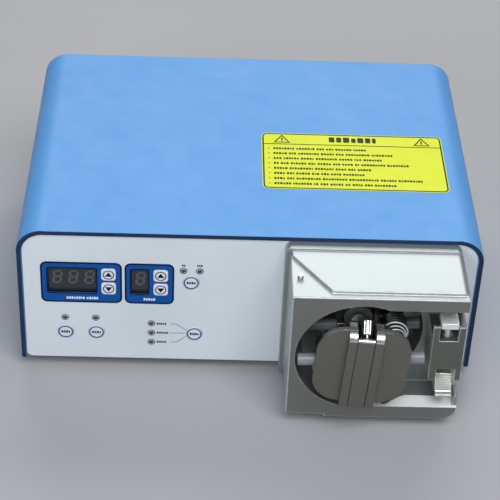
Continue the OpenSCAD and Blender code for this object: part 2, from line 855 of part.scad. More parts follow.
module rotor_rear_plate() {
    color([0.5, 0.5, 0.48]) difference() {
        rotor_slab(rear_plate_v[0], rear_plate_v[1]) rotor_plate_outline();
        in_rotor() rod_y(shaft_r, rear_plate_v[0] - 1, rear_plate_v[1] + 1);
        in_rotor() for (s = [-1, 1]) translate([s * arm_pivot[0], 0, s * arm_pivot[1]])
            rod_y(pivot_r, rear_plate_v[0] + 1, rear_plate_v[1] + 1);
    }
}

module arm_pivots() {
    color("silver") in_rotor() for (s = [-1, 1]) translate([s * arm_pivot[0], 0, s * arm_pivot[1]])
        rod_y(pivot_r, rear_plate_v[0] + 1, 56);
}

module guide_pins() {
    color("silver") along_guides() for (v = [guide_front_v, guide_rear_v], s = [0, 1])
        mirror([s, 0, 0]) translate([7.4, -v, 0]) rotate([0, 90, 0])
            cylinder(r = guide_pin_r, h = guide_reach - 8);
}

module arm_springs() {
    color([0.75, 0.75, 0.76]) in_rotor() for (s = [-1, 1]) translate([s * arm_pivot[0], 0, s * arm_pivot[1]])
        difference() {
            rod_y(8.2, 31, 44.6);
            rod_y(6, 30, 46);
        }
}

module crank_pin() {
    color("silver") in_rotor() translate([-rib_half_w + 0.3, -hinge_v, hinge_z])
        rotate([0, 90, 0]) cylinder(r = hinge_pin_r, h = 2 * rib_half_w - 0.6);
}

module crank_bar() {
    color([0.42, 0.42, 0.4]) in_rotor() difference() {
        translate([-crank_w / 2, -hinge_v, 0]) rotate([90, 0, 90]) linear_extrude(crank_w) {
            translate([-crank_t / 2, crank_end_z]) square([crank_t, hinge_z - crank_end_z]);
            translate([0, hinge_z]) circle(crank_t / 2);
        }
        translate([-12, -hinge_v, hinge_z]) rotate([0, 90, 0]) cylinder(r = hinge_pin_r + running, h = 24);
    }
}

detent_gap = 2;          // from the hinge's axis to the tip of the detent nose
detent_body_from = 4;
detent_body_to = 13;

module detent_body() {
    color([0.85, 0.85, 0.85]) along_detent() translate([0, 0, detent_body_from]) difference() {
        cylinder(r = 2.35, h = detent_body_to - detent_body_from);
        translate([0, 0, -1]) cylinder(r = 0.9 + running, h = 7);
    }
}

module detent_nose() {
    color([0.9, 0.9, 0.9]) along_detent() translate([0, 0, detent_gap]) cylinder(r = 0.9, h = 6);
}

// A forked arm: two cheeks joined by a sleeve on the pivot, with the roller's axle across them
module roller_arm() {
    reach = roller_at - arm_pivot;
    module cheek() {
        translate(arm_pivot) circle(5.4);
        translate(roller_at) circle(4.8);
        translate(arm_pivot) rotate(atan2(reach[1], reach[0])) translate([0, -4]) square([norm(reach), 8]);
    }
    color([0.55, 0.56, 0.56]) difference() {
        union() {
            for (v = [cheek_rear_v, cheek_front_v]) rotor_slab(v[0], v[1]) cheek();
            rotor_slab(cheek_rear_v[0], cheek_front_v[1]) translate(arm_pivot) circle(5.4);
            rotor_slab(cheek_rear_v[0], cheek_front_v[1]) translate(roller_at) circle(axle_r);
        }
        in_rotor() translate([arm_pivot[0], 0, arm_pivot[1]]) rod_y(pivot_r + running, 0, 60);
    }
}

module main_roller() {
    gap = 0.3;
    color([0.3, 0.33, 0.3]) in_rotor() translate([roller_at[0], 0, roller_at[1]]) difference() {
        rod_y(main_r, cheek_rear_v[1] + gap, cheek_front_v[0] - gap);
        rod_y(axle_r + running, 0, 60);
    }
}

module half_turn() {
    at_axis() rotate([0, 180, 0]) translate([-head_x, -front_y, -head_z]) children();
}

module roller_arm_a() { roller_arm(); }
module roller_arm_b() { half_turn() roller_arm(); }
module main_roller_a() { main_roller(); }
module main_roller_b() { half_turn() main_roller(); }

module guide_roller(v, side) {
    color([0.62, 0.65, 0.7]) along_guides() mirror([side, 0, 0]) translate([guide_inner, -v, 0])
        rotate([0, 90, 0]) difference() {
            cylinder(r = guide_r, h = guide_reach - guide_inner);
            translate([0, 0, -1]) cylinder(r = guide_pin_r + running, h = guide_reach);
        }
}

module guide_roller_front_left() { guide_roller(guide_front_v, 1); }
module guide_roller_front_right() { guide_roller(guide_front_v, 0); }
module guide_roller_rear_left() { guide_roller(guide_rear_v, 1); }
module guide_roller_rear_right() { guide_roller(guide_rear_v, 0); }

base_plate();
cover();
cover_screws();
rubber_feet();
front_panel();
panel_overlay();
display_windows();
digit_displays();
indicator_lights();
display_board();
rear_panel();
control_board();
board_standoffs();
power_supply();
motor_body();
motor_bracket();
drive_bearing();
mains_inlet();
fan_frame();
fan_guard();
fan_blades();
rocker_switch();
fuse_drawer();
footswitch_socket();
top_label();
pump_housing();
housing_screws();
guard_stubs();
clamp_carrier();
upper_clamp();
lower_clamp();
upper_clamp_spring();
lower_clamp_spring();
drive_shaft();
rotor_hub();
rotor_front_plate();
rotor_rear_plate();
arm_pivots();
guide_pins();
arm_springs();
crank_pin();
crank_bar();
detent_body();
detent_nose();
roller_arm_a();
roller_arm_b();
main_roller_a();
main_roller_b();
guide_roller_front_left();
guide_roller_front_right();
guide_roller_rear_left();
guide_roller_rear_right();
angle_up_key();
angle_down_key();
speed_up_key();
speed_down_key();
shot_key();
program_key();
direction_key();
mode_key();
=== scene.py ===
"""The looks of a bench-top peristaltic pump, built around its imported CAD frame."""
import json
import math

import bmesh
import bpy
from mathutils import Matrix, Vector

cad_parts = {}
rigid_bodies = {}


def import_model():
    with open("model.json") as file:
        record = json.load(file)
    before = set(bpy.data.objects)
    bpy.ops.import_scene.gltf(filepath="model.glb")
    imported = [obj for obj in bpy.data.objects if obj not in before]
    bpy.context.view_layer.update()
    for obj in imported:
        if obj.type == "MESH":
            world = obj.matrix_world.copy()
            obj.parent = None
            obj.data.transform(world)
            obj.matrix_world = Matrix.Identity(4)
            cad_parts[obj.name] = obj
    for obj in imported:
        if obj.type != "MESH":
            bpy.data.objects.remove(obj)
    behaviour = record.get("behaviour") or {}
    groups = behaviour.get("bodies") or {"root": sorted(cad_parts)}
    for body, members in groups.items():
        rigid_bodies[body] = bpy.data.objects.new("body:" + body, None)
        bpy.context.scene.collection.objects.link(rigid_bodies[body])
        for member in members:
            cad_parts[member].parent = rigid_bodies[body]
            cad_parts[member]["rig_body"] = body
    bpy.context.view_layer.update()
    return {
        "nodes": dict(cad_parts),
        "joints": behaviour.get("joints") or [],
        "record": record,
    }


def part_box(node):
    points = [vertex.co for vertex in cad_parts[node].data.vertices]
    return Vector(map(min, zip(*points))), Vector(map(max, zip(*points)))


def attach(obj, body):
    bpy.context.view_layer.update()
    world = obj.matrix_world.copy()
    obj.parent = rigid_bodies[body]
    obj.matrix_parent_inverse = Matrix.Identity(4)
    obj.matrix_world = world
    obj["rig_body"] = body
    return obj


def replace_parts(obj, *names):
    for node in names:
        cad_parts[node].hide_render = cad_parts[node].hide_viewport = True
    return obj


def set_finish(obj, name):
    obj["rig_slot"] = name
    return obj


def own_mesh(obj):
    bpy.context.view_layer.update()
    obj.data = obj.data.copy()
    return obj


for leftover in list(bpy.data.objects):
    bpy.data.objects.remove(leftover)
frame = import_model()

MM = 0.001

# ---------------------------------------------------------------- places, from the frame
JOINTS = {joint["name"]: joint for joint in frame["joints"]}
cover_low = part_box("cover")[0]
CASE_LEFT = cover_low.x
CASE_BOTTOM = cover_low.z
PANEL_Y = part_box("front_panel")[0].y
AXIS = Vector(JOINTS["rotor_spin"]["pos_m"])
FRONT_Y = AXIS.y
ROTOR_TURN = math.asin(JOINTS["crank_fold"]["axis"][2])
ROTOR_FRAME = Matrix.Translation(AXIS) @ Matrix.Rotation(ROTOR_TURN, 4, "Y")


def on_panel(x, z, proud=0.0):
    """A place on the front panel, in mm from the case's lower left corner."""
    return Vector((CASE_LEFT + x * MM, PANEL_Y - proud * MM, CASE_BOTTOM + z * MM))


def in_rotor(x, v, z):
    """A place in the upright rotor's frame, in mm: v is the distance in front of the panel."""
    return ROTOR_FRAME @ Vector((x * MM, -v * MM, z * MM))


def in_rotor_z(place):
    """How far a place lies along the crank from the rotor axis, in mm."""
    return (ROTOR_FRAME.inverted() @ place).z / MM


def centre(node):
    """The middle of a node's box."""
    low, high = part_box(node)
    return (low + high) / 2


# ---------------------------------------------------------------- materials
def srgb(red, green, blue):
    """A linear colour from display values of 0 to 255."""
    def linear(value):
        value /= 255
        return value / 12.92 if value <= 0.04045 else ((value + 0.055) / 1.055) ** 2.4
    return (linear(red), linear(green), linear(blue), 1.0)


class Finish:
    """A procedural surface: a base colour that later effects are mixed into, and stacked bumps."""

    def __init__(self, name, colour, metallic=0.0, roughness=0.5, coat=0.0, specular=0.5):
        self.material = bpy.data.materials.new(name)
        self.material.use_nodes = True
        self.tree = self.material.node_tree
        self.shader = self.tree.nodes["Principled BSDF"]
        self.shader.inputs["Base Color"].default_value = colour
        self.shader.inputs["Metallic"].default_value = metallic
        self.shader.inputs["Roughness"].default_value = roughness
        self.shader.inputs["Coat Weight"].default_value = coat
        self.shader.inputs["Coat Roughness"].default_value = 0.12
        self.shader.inputs["Specular IOR Level"].default_value = specular
        self.material.diffuse_color = colour
        self.colour = colour
        self.colour_out = None
        self.normal_out = None
        self.place = self.node("ShaderNodeTexCoord").outputs["Object"]

    def node(self, kind):
        return self.tree.nodes.new(kind)

    def link(self, source, target):
        self.tree.links.new(source, target)

    def noise(self, scale, detail=3.0, stretch=(1, 1, 1)):
        source = self.place
        if stretch != (1, 1, 1):
            mapping = self.node("ShaderNodeMapping")
            mapping.inputs["Scale"].default_value = stretch
            self.link(self.place, mapping.inputs["Vector"])
            source = mapping.outputs["Vector"]
        noise = self.node("ShaderNodeTexNoise")
        noise.inputs["Scale"].default_value = scale
        noise.inputs["Detail"].default_value = detail
        noise.inputs["Roughness"].default_value = 0.55
        self.link(source, noise.inputs["Vector"])
        return noise.outputs["Fac"]

    def spread(self, value, low, high, out_low=0.0, out_high=1.0):
        """Stretches the part of a value between low and high over the output range."""
        ranged = self.node("ShaderNodeMapRange")
        ranged.inputs["From Min"].default_value = low
        ranged.inputs["From Max"].default_value = high
        ranged.inputs["To Min"].default_value = out_low
        ranged.inputs["To Max"].default_value = out_high
        self.link(value, ranged.inputs["Value"])
        return ranged.outputs["Result"]

    def blend_in(self, colour, factor):
        mix = self.node("ShaderNodeMix")
        mix.data_type = "RGBA"
        self.link(factor, mix.inputs[0])
        if self.colour_out is None:
            mix.inputs[6].default_value = self.colour
        else:
            self.link(self.colour_out, mix.inputs[6])
        mix.inputs[7].default_value = colour
        self.colour_out = mix.outputs[2]
        self.link(self.colour_out, self.shader.inputs["Base Color"])
        return self

    def mottle(self, colour, scale, low=0.4, high=0.7, strength=1.0, stretch=(1, 1, 1)):
        """Soft patches of a second colour."""
        noise = self.noise(scale, 4.0, stretch)
        return self.blend_in(colour, self.spread(noise, low, high, 0.0, strength))

    def specks(self, colour, scale, size=0.12, strength=0.8):
        """Scattered dots, such as dust or pinholes."""
        cells = self.node("ShaderNodeTexVoronoi")
        cells.inputs["Scale"].default_value = scale
        self.link(self.place, cells.inputs["Vector"])
        dots = self.spread(cells.outputs["Distance"], size, size * 0.6, 0.0, strength)
        patches = self.spread(self.noise(scale * 0.18, 2.0), 0.5, 0.62)
        both = self.node("ShaderNodeMath")
        both.operation = "MULTIPLY"
        self.link(dots, both.inputs[0])
        self.link(patches, both.inputs[1])
        return self.blend_in(colour, both.outputs[0])

    def rough(self, low, high, scale, stretch=(1, 1, 1)):
        noise = self.noise(scale, 4.0, stretch)
        self.link(self.spread(noise, 0.3, 0.7, low, high), self.shader.inputs["Roughness"])
        return self

    def bump(self, scale, strength, depth, detail=2.0, stretch=(1, 1, 1)):
        """Relief from noise; depth is in metres."""
        bump = self.node("ShaderNodeBump")
        bump.inputs["Strength"].default_value = strength
        bump.inputs["Distance"].default_value = depth
        self.link(self.noise(scale, detail, stretch), bump.inputs["Height"])
        if self.normal_out is not None:
            self.link(self.normal_out, bump.inputs["Normal"])
        self.normal_out = bump.outputs["Normal"]
        self.link(self.normal_out, self.shader.inputs["Normal"])
        return self


def powder_coat():
    finish = Finish("cover_powder_coat", srgb(93, 158, 222), roughness=0.45, specular=0.2)
    finish.mottle(srgb(103, 166, 229), 14, 0.35, 0.7, 0.55)
    finish.mottle(srgb(84, 147, 213), 600, 0.5, 0.75, 0.35)
    finish.specks(srgb(190, 214, 240), 340, 0.11, 0.5)
    finish.rough(0.36, 0.5, 60)
    return finish.bump(1100, 0.35, 0.00012, 3.0).bump(3200, 0.2, 0.00005).material


# Painted shade: a darker navy copy of the cover paint that stands in for the shade on the cover's front
# lip.
def shaded_lip_paint():
    finish = Finish("cover_edge_painted_shade", srgb(26, 44, 76), roughness=0.4, specular=0.3)
    finish.mottle(srgb(20, 36, 66), 90, 0.4, 0.7, 0.5)
    return finish.bump(1400, 0.25, 0.00008).material


def panel_paint():
    finish = Finish("panel_satin_paint", srgb(216, 224, 230), roughness=0.34, coat=0.15)
    finish.mottle(srgb(207, 216, 223), 22, 0.4, 0.7, 0.6)
    finish.specks(srgb(150, 152, 160), 260, 0.07, 0.5)
    finish.rough(0.28, 0.42, 90)
    return finish.bump(1800, 0.12, 0.00004).material


def print_ink(name, colour, darker):
    finish = Finish(name, colour, roughness=0.5, specular=0.12)
    finish.mottle(darker, 180, 0.4, 0.75, 0.4)
    finish.rough(0.44, 0.58, 240)
    return finish.bump(2600, 0.12, 0.00003).material


def smoked_window():
    finish = Finish("smoked_window", srgb(38, 44, 50), roughness=0.16, coat=0.2)
    finish.mottle(srgb(46, 52, 58), 70, 0.4, 0.7, 0.5)
    finish.specks(srgb(120, 122, 126), 420, 0.07, 0.4)
    finish.rough(0.12, 0.24, 120)
    return finish.bump(900, 0.05, 0.00003).material


def cast_metal(name, colour, patch, bright, roughness=(0.36, 0.5), metallic=0.85, grain=1.0):
    """Satin, finely blasted cast metal with small dull and bright nicks."""
    finish = Finish(name, colour, metallic=metallic, roughness=sum(roughness) / 2)
    finish.mottle(patch, 45, 0.4, 0.7, 0.12)
    finish.mottle(patch, 700, 0.5, 0.75, 0.2)
    finish.specks(patch, 300, 0.08, 0.4)
    finish.specks(bright, 210, 0.05, 0.35)
    finish.rough(roughness[0], roughness[1], 600)
    return finish.bump(1500, 0.3 * grain, 0.00008, 3.0).bump(4200, 0.2 * grain, 0.00004).material


def edge_highlight_metal(name, colour, roughness=(0.2, 0.36), metallic=0.9):
    """Brighter metal for a casting's rounded edges, a painted highlight along them, dulled in places."""
    finish = Finish(name, colour, metallic=metallic, roughness=sum(roughness) / 2)
    duller = tuple(c * 0.6 for c in colour[:3]) + (1.0,)
    finish.mottle(duller, 320, 0.42, 0.68, 0.4)
    finish.rough(roughness[0], roughness[1], 420)
    return finish.bump(1800, 0.25, 0.00005).material


def turned_metal(name, colour, along=(1, 1, 1), roughness=(0.16, 0.3), metallic=1.0):
    """Machined metal with fine tool marks; along stretches them."""
    finish = Finish(name, colour, metallic=metallic, roughness=sum(roughness) / 2)
    darker = tuple(c * 0.75 for c in colour[:3]) + (1.0,)
    finish.mottle(darker, 240, 0.4, 0.75, 0.5, along)
    finish.rough(roughness[0], roughness[1], 500, along)
    return finish.bump(2200, 0.2, 0.00003, 2.0, along).material


def plastic(name, colour, patch, roughness=(0.35, 0.5), grain=0.25, scale=2400, coat=0.0):
    finish = Finish(name, colour, roughness=sum(roughness) / 2, coat=coat)
    finish.mottle(patch, 120, 0.4, 0.75, 0.5)
    finish.specks(patch, 380, 0.08, 0.4)
    finish.rough(roughness[0], roughness[1], 200)
    return finish.bump(scale, grain, 0.00004, 2.0).material


def label_film():
    finish = Finish("label_film", srgb(222, 230, 26), roughness=0.5, specular=0.12)
    finish.mottle(srgb(212, 226, 24), 60, 0.4, 0.7, 0.6)
    finish.specks(srgb(190, 200, 70), 300, 0.08, 0.5)
    finish.rough(0.24, 0.4, 120)
    return finish.bump(260, 0.12, 0.00006).bump(2400, 0.08, 0.00002).material


PAINT = powder_coat()
SHADED_LIP_PAINT = shaded_lip_paint()
PANEL = panel_paint()
WINDOW = smoked_window()
LABEL = label_film()
BLUE_INK = print_ink("blue_ink", srgb(14, 82, 160), srgb(11, 72, 144))
NAVY_INK = print_ink("navy_ink", srgb(10, 17, 44), srgb(8, 13, 34))
RIM_INK = print_ink("rim_ink", srgb(20, 84, 156), srgb(16, 72, 138))
WHITE_INK = print_ink("white_ink", srgb(226, 232, 240), srgb(206, 212, 222))
GREEN_INK = print_ink("dark_green_ink", srgb(34, 52, 26), srgb(26, 40, 20))
SEGMENT = plastic("unlit_segment", srgb(84, 86, 88), srgb(76, 78, 80), (0.4, 0.55))
HOUSING = cast_metal("housing_casting", srgb(172, 179, 181), srgb(162, 169, 171),
                     srgb(236, 240, 242), (0.4, 0.46), 0.7)
# Painted light: a near-white, barely metallic copy for the track's floor strip, standing in for the light
# that falls on it.
LIT_TRACK = cast_metal("track_painted_light", srgb(246, 250, 250), srgb(234, 240, 240),
                   srgb(252, 254, 254), metallic=0.05)
CLAMP_BODY = cast_metal("carrier_casting", srgb(118, 119, 113), srgb(108, 109, 104),
                        srgb(236, 236, 230))
# Painted light: a lighter, less metallic copy of the carrier metal for its left face.
LIT_CARRIER_SIDE = cast_metal("carrier_side_painted_light", srgb(186, 191, 186), srgb(172, 177, 172),
                          srgb(240, 242, 240), metallic=0.3)
CLAMP_PAD = cast_metal("pad_casting", srgb(226, 232, 232), srgb(214, 220, 220),
                       srgb(250, 252, 252), (0.3, 0.42), 0.3)
THUMB_PAD = cast_metal("thumb_casting", srgb(182, 182, 176), srgb(168, 168, 162),
                       srgb(246, 248, 246), (0.3, 0.42), 0.4)
ROTOR_METAL = cast_metal("rotor_casting", srgb(124, 122, 115), srgb(114, 112, 106),
                         srgb(200, 200, 196))
# Painted shade: the hub metal is darkened for the shade inside the housing.
HUB_METAL = cast_metal("hub_casting", srgb(96, 97, 95), srgb(84, 85, 83), srgb(190, 190, 186))
ARM_METAL = cast_metal("arm_casting", srgb(88, 91, 90), srgb(76, 79, 78), srgb(180, 182, 180))
# Metals for the bevel faces, mostly brighter than the castings they round: painted highlights along the
# edges.
DULL_EDGE = edge_highlight_metal("dull_edge", srgb(196, 200, 200), (0.3, 0.44), 0.5)
DARK_EDGE = edge_highlight_metal("dark_edge", srgb(128, 129, 124), (0.26, 0.4))
BRIGHT_EDGE = edge_highlight_metal("bright_edge", srgb(232, 236, 236))
# Painted shade: a darker copy of the housing metal for the faces that look to the front.
SHADED_FRONT_FACE = cast_metal("housing_front_shaded", srgb(140, 140, 136), srgb(130, 130, 126),
                        srgb(226, 230, 232), (0.4, 0.46), 0.85)
# Painted light: a less metallic copy of the housing metal for the chamber and channel walls, standing in
# for the light that reaches inside.
LIT_INNER = cast_metal("inner_casting_painted_light", srgb(150, 155, 154), srgb(138, 143, 142),
                   srgb(200, 204, 204), metallic=0.6)
STEEL = turned_metal("ground_steel", srgb(204, 204, 202))
NICKEL = turned_metal("nickel_plate", srgb(226, 226, 222), roughness=(0.12, 0.26))
SPRING = turned_metal("spring_wire", srgb(196, 198, 196), roughness=(0.18, 0.32))
# Painted shade: a dark copy of the spring wire for the arm springs' coils, which lie in the housing's
# shade.
SHADED_SPRING = turned_metal("spring_wire_painted_shade", srgb(84, 86, 86), roughness=(0.3, 0.44))
# Painted highlight: bright rings for the lit front loops of the arm springs.
HIGHLIGHT_RING = turned_metal("ring_painted_highlight", srgb(226, 228, 226), roughness=(0.3, 0.42), metallic=0.35)
BRASS = turned_metal("turned_brass", srgb(206, 172, 96))
ZINC = cast_metal("zinc_sheet", srgb(176, 178, 182), srgb(160, 163, 168),
                  srgb(214, 216, 218), grain=0.4)
BLACK_SCREW = turned_metal("black_screw", srgb(62, 62, 64), roughness=(0.3, 0.45))
# Painted shade: the main rollers' nylon is darkened for the shade inside the housing.
SHADED_NYLON = plastic("nylon_painted_shade", srgb(50, 57, 54), srgb(42, 48, 45), (0.42, 0.55), 0.3)
ACETAL = plastic("grey_acetal", srgb(132, 136, 142), srgb(116, 120, 127), (0.26, 0.38), 0.12)
KEY_PLASTIC = plastic("white_key", srgb(222, 226, 232), srgb(206, 210, 218), (0.24, 0.36), 0.1)
BLACK_PLASTIC = plastic("black_plastic", srgb(30, 30, 32), srgb(38, 38, 40), (0.36, 0.5), 0.35, 1600)
RED_PLASTIC = plastic("red_plastic", srgb(168, 28, 22), srgb(150, 24, 20), (0.24, 0.36), 0.1)
RUBBER = plastic("foot_rubber", srgb(28, 28, 28), srgb(40, 40, 40), (0.6, 0.8), 0.5, 1400)
LENS = plastic("lamp_lens", srgb(44, 50, 62), srgb(56, 62, 72), (0.12, 0.2), 0.05, coat=0.5)
BOARD = plastic("circuit_board", srgb(20, 92, 48), srgb(16, 76, 40), (0.3, 0.45))
ENAMEL = plastic("motor_enamel", srgb(40, 40, 44), srgb(52, 52, 56), (0.3, 0.44), 0.3, 1500)

SLOTS = {entry["node"]: entry["material_slot"] for entry in frame["record"]["subparts"]}


# ---------------------------------------------------------------- mesh helpers
NEARLY_FLAT = math.radians(0.4)  # faces that turn less than this are joined
WELD = 2e-6


def add_piece(name, form, body, material, slot=None, smooth=40.0):
    """Turns a bmesh into a named piece that rides on a body."""
    mesh = bpy.data.meshes.new(name)
    bmesh.ops.recalc_face_normals(form, faces=form.faces)
    form.to_mesh(mesh)
    form.free()
    for polygon in mesh.polygons:
        polygon.use_smooth = True
    mesh.set_sharp_from_angle(angle=math.radians(smooth))
    mesh.materials.append(material)
    piece = bpy.data.objects.new(name, mesh)
    bpy.context.scene.collection.objects.link(piece)
    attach(piece, body)
    if slot:
        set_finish(piece, slot)
    return piece


def bevel(piece, width, segments=2, angle=32.0):
    """Rounds a piece's sharp edges; width is in mm."""
    rounding = piece.modifiers.new("rounded_edges", "BEVEL")
    rounding.width = width * MM
    rounding.segments = segments
    rounding.limit_method = "ANGLE"
    rounding.angle_limit = math.radians(angle)
    rounding.use_clamp_overlap = False
    rounding.harden_normals = True
    return piece


def weighted_bevel(piece, width, weigh, segments=3, angle=32.0):
    """Rounds sharp edges by a share of the width, which weigh gives at an edge's middle."""
    form = bmesh.new()
    form.from_mesh(piece.data)
    layer = form.edges.layers.float.new("bevel_weight_edge")
    for edge in form.edges:
        if len(edge.link_faces) == 2 and edge.calc_face_angle() > math.radians(angle):
            edge[layer] = weigh((edge.verts[0].co + edge.verts[1].co) / 2)
    form.to_mesh(piece.data)
    form.free()
    rounding = bevel(piece, width, segments).modifiers["rounded_edges"]
    rounding.limit_method = "WEIGHT"
    rounding.harden_normals = False
    piece.modifiers.new("flat_faces", "WEIGHTED_NORMAL").keep_sharp = True
    return piece


def close_holes(piece, near):
    """Takes away the walls of hidden holes, picked by near, and closes their mouths."""
    form = bmesh.new()
    form.from_mesh(piece.data)
    walls = [face for face in form.faces if all(near(vert.co) for vert in face.verts)]
    bmesh.ops.delete(form, geom=walls, context="FACES")
    bmesh.ops.holes_fill(form, edges=[edge for edge in form.edges if edge.is_boundary])
    bmesh.ops.dissolve_limit(form, angle_limit=NEARLY_FLAT, verts=form.verts, edges=form.edges)
    bmesh.ops.recalc_face_normals(form, faces=form.faces)
    form.to_mesh(piece.data)
    form.free()
    return piece


def merge_near(piece, near, reach):
    """Joins the crowded vertices that near picks; reach is in mm."""
    form = bmesh.new()
    form.from_mesh(piece.data)
    crowded = [vert for vert in form.verts if near(vert.co)]
    bmesh.ops.remove_doubles(form, verts=crowded, dist=reach * MM)
    form.to_mesh(piece.data)
    form.free()


def second_material(piece, material, chosen):
    """Gives another material to the faces that chosen picks by their middle and normal."""
    piece.data.materials.append(material)
    for face in piece.data.polygons:
        if chosen(face.center, face.normal):
            face.material_index = len(piece.data.materials) - 1
    return piece


def edge_material(piece, material):
    """The faces that the bevel makes get a material of their own."""
    piece.data.materials.append(material)
    piece.modifiers["rounded_edges"].material = len(piece.data.materials) - 1
    return piece


def soften(node, material, width=0.3, segments=2, angle=32.0, edge=None):
    """A finished copy of a CAD node: welded, its flat faces whole, and its edges rounded."""
    source = frame["nodes"][node]
    form = bmesh.new()
    form.from_mesh(source.data)
    bmesh.ops.remove_doubles(form, verts=form.verts, dist=WELD)
    bmesh.ops.dissolve_limit(form, angle_limit=NEARLY_FLAT, verts=form.verts, edges=form.edges)
    piece = add_piece(node + "_finished", form, source["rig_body"], material, SLOTS[node])
    if width:
        bevel(piece, width, segments, angle)
    if edge:
        edge_material(piece, edge)
    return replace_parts(piece, node)


def repaint(node, material):
    """A CAD node whose shape is right keeps it and gets the finished material."""
    mesh = frame["nodes"][node].data
    mesh.materials.clear()
    mesh.materials.append(material)


def arc(cx, cz, radius, start, end, steps):
    """Points on an arc, in degrees, both ends included."""
    angles = [math.radians(start + (end - start) * i / steps) for i in range(steps + 1)]
    return [(cx + radius * math.cos(a), cz + radius * math.sin(a)) for a in angles]


def round_rect(x0, x1, z0, z1, radius, steps=6):
    """A rounded rectangle, anticlockwise from its lower left corner."""
    if radius <= 0:
        return [(x0, z0), (x1, z0), (x1, z1), (x0, z1)]
    points = arc(x0 + radius, z0 + radius, radius, 180, 270, steps)
    points += arc(x1 - radius, z0 + radius, radius, 270, 360, steps)
    points += arc(x1 - radius, z1 - radius, radius, 0, 90, steps)
    return points + arc(x0 + radius, z1 - radius, radius, 90, 180, steps)


def circle(cx, cz, radius, steps=48):
    return arc(cx, cz, radius, 0, 360 * (steps - 1) / steps, steps - 1)


def prism(form, outline, place, depth):
    """Adds a solid between the outline at y = 0 and at y = depth; place maps mm to metres."""
    front = [form.verts.new(place(x, 0.0, z)) for x, z in outline]
    back = [form.verts.new(place(x, depth, z)) for x, z in outline]
    form.faces.new(front)
    form.faces.new(reversed(back))
    for i, corner in enumerate(front):
        j = (i + 1) % len(front)
        form.faces.new((corner, back[i], back[j], front[j]))


def ring_prism(form, outer, inner, place, depth):
    """Adds a frame between two outlines with the same number of points."""
    def loop(outline, y):
        return [form.verts.new(place(x, y, z)) for x, z in outline]

    outer_front, inner_front = loop(outer, 0.0), loop(inner, 0.0)
    outer_back, inner_back = loop(outer, depth), loop(inner, depth)
    for i in range(len(outer)):
        j = (i + 1) % len(outer)
        form.faces.new((outer_front[i], outer_front[j], inner_front[j], inner_front[i]))
        form.faces.new((outer_back[i], inner_back[i], inner_back[j], outer_back[j]))
        form.faces.new((outer_front[i], outer_back[i], outer_back[j], outer_front[j]))
        form.faces.new((inner_front[i], inner_front[j], inner_back[j], inner_back[i]))


def lathe(form, profile, place, steps=64):
    """Adds a body of revolution from (radius, distance) points; place maps mm to metres."""
    turn = [2 * math.pi * i / steps for i in range(steps)]
    rings = []
    for radius, along in profile:
        spots = [(radius * math.cos(a), radius * math.sin(a)) for a in (turn if radius > 0 else turn[:1])]
        rings.append([form.verts.new(place(x, along, z)) for x, z in spots])
    for first, second in zip(rings, rings[1:]):
        for i in range(steps):
            j = (i + 1) % steps
            if len(first) == 1:
                form.faces.new((first[0], second[j], second[i]))
            elif len(second) == 1:
                form.faces.new((first[i], first[j], second[0]))
            else:
                form.faces.new((first[i], first[j], second[j], second[i]))


def panel_place(proud):
    """Maps panel mm to metres; y = 0 is this far in front of the panel, and y grows into it."""
    def place(x, y, z):
        return on_panel(x, z, proud - y)
    return place


def helix(name, body, place, radius, wire, length, turns, material, slot, lead=0.0):
    """A wound spring as a tube swept along a helix; a lead of -1 closes the end coils."""
    curve = bpy.data.curves.new(name, "CURVE")
    curve.dimensions = "3D"
    curve.bevel_depth = wire / 2 * MM
    curve.bevel_resolution = 4
    curve.use_fill_caps = True
    steps = int(turns * 28)
    points = []
    for i in range(steps + 1):
        share = i / steps
        eased = share + math.sin(2 * math.pi * share) / (2 * math.pi) * lead
        turn = 2 * math.pi * turns * share
        points.append(place(radius * math.cos(turn), eased * length, radius * math.sin(turn)))
    spline = curve.splines.new("POLY")
    spline.points.add(len(points) - 1)
    for point, target in zip(spline.points, points):
        point.co = (*target, 1.0)
    curve.materials.append(material)
    spring = bpy.data.objects.new(name, curve)
    bpy.context.scene.collection.objects.link(spring)
    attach(spring, body)
    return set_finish(spring, slot)


def as_mesh(piece):
    """Turns a curve piece into a mesh with the same name, body and slot."""
    bpy.context.view_layer.update()
    evaluated = piece.evaluated_get(bpy.context.evaluated_depsgraph_get())
    mesh = bpy.data.meshes.new_from_object(evaluated)
    solid = bpy.data.objects.new("shape", mesh)
    bpy.context.scene.collection.objects.link(solid)
    name, body, slot = piece.name, piece["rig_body"], piece["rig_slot"]
    bpy.data.objects.remove(piece)
    solid.name = name
    for polygon in mesh.polygons:
        polygon.use_smooth = True
    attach(solid, body)
    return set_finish(solid, slot)


# ---------------------------------------------------------------- case
def window_reveal(middle, normal):
    """The cut edges of the panel around the two windows and the square keys, which get dark ink as
    painted shade.
    """
    x, z = (middle.x - CASE_LEFT) / MM, (middle.z - CASE_BOTTOM) / MM
    return abs(normal.y) < 0.5 and 15 < x < 97 and 47 < z < 78


def case_shell():
    """The folded cover, the panels and what holds them."""
    cover = soften("cover", PAINT, 0.5, 3)
    # the cover faces that look to the front or back get the darker navy as painted shade
    second_material(cover, SHADED_LIP_PAINT, lambda middle, normal: abs(normal.y) > 0.9)
    soften("cover_screws", BLACK_SCREW, 0.15)
    soften("rubber_feet", RUBBER, 0.9, 3)
    soften("base_plate", ZINC, 0.2)
    # the panel's cut edges around the windows and keys get navy ink as painted shade
    second_material(soften("front_panel", PANEL, 0.25), NAVY_INK, window_reveal)
    soften("rear_panel", PANEL, 0.25)
    foot_recess_washers()


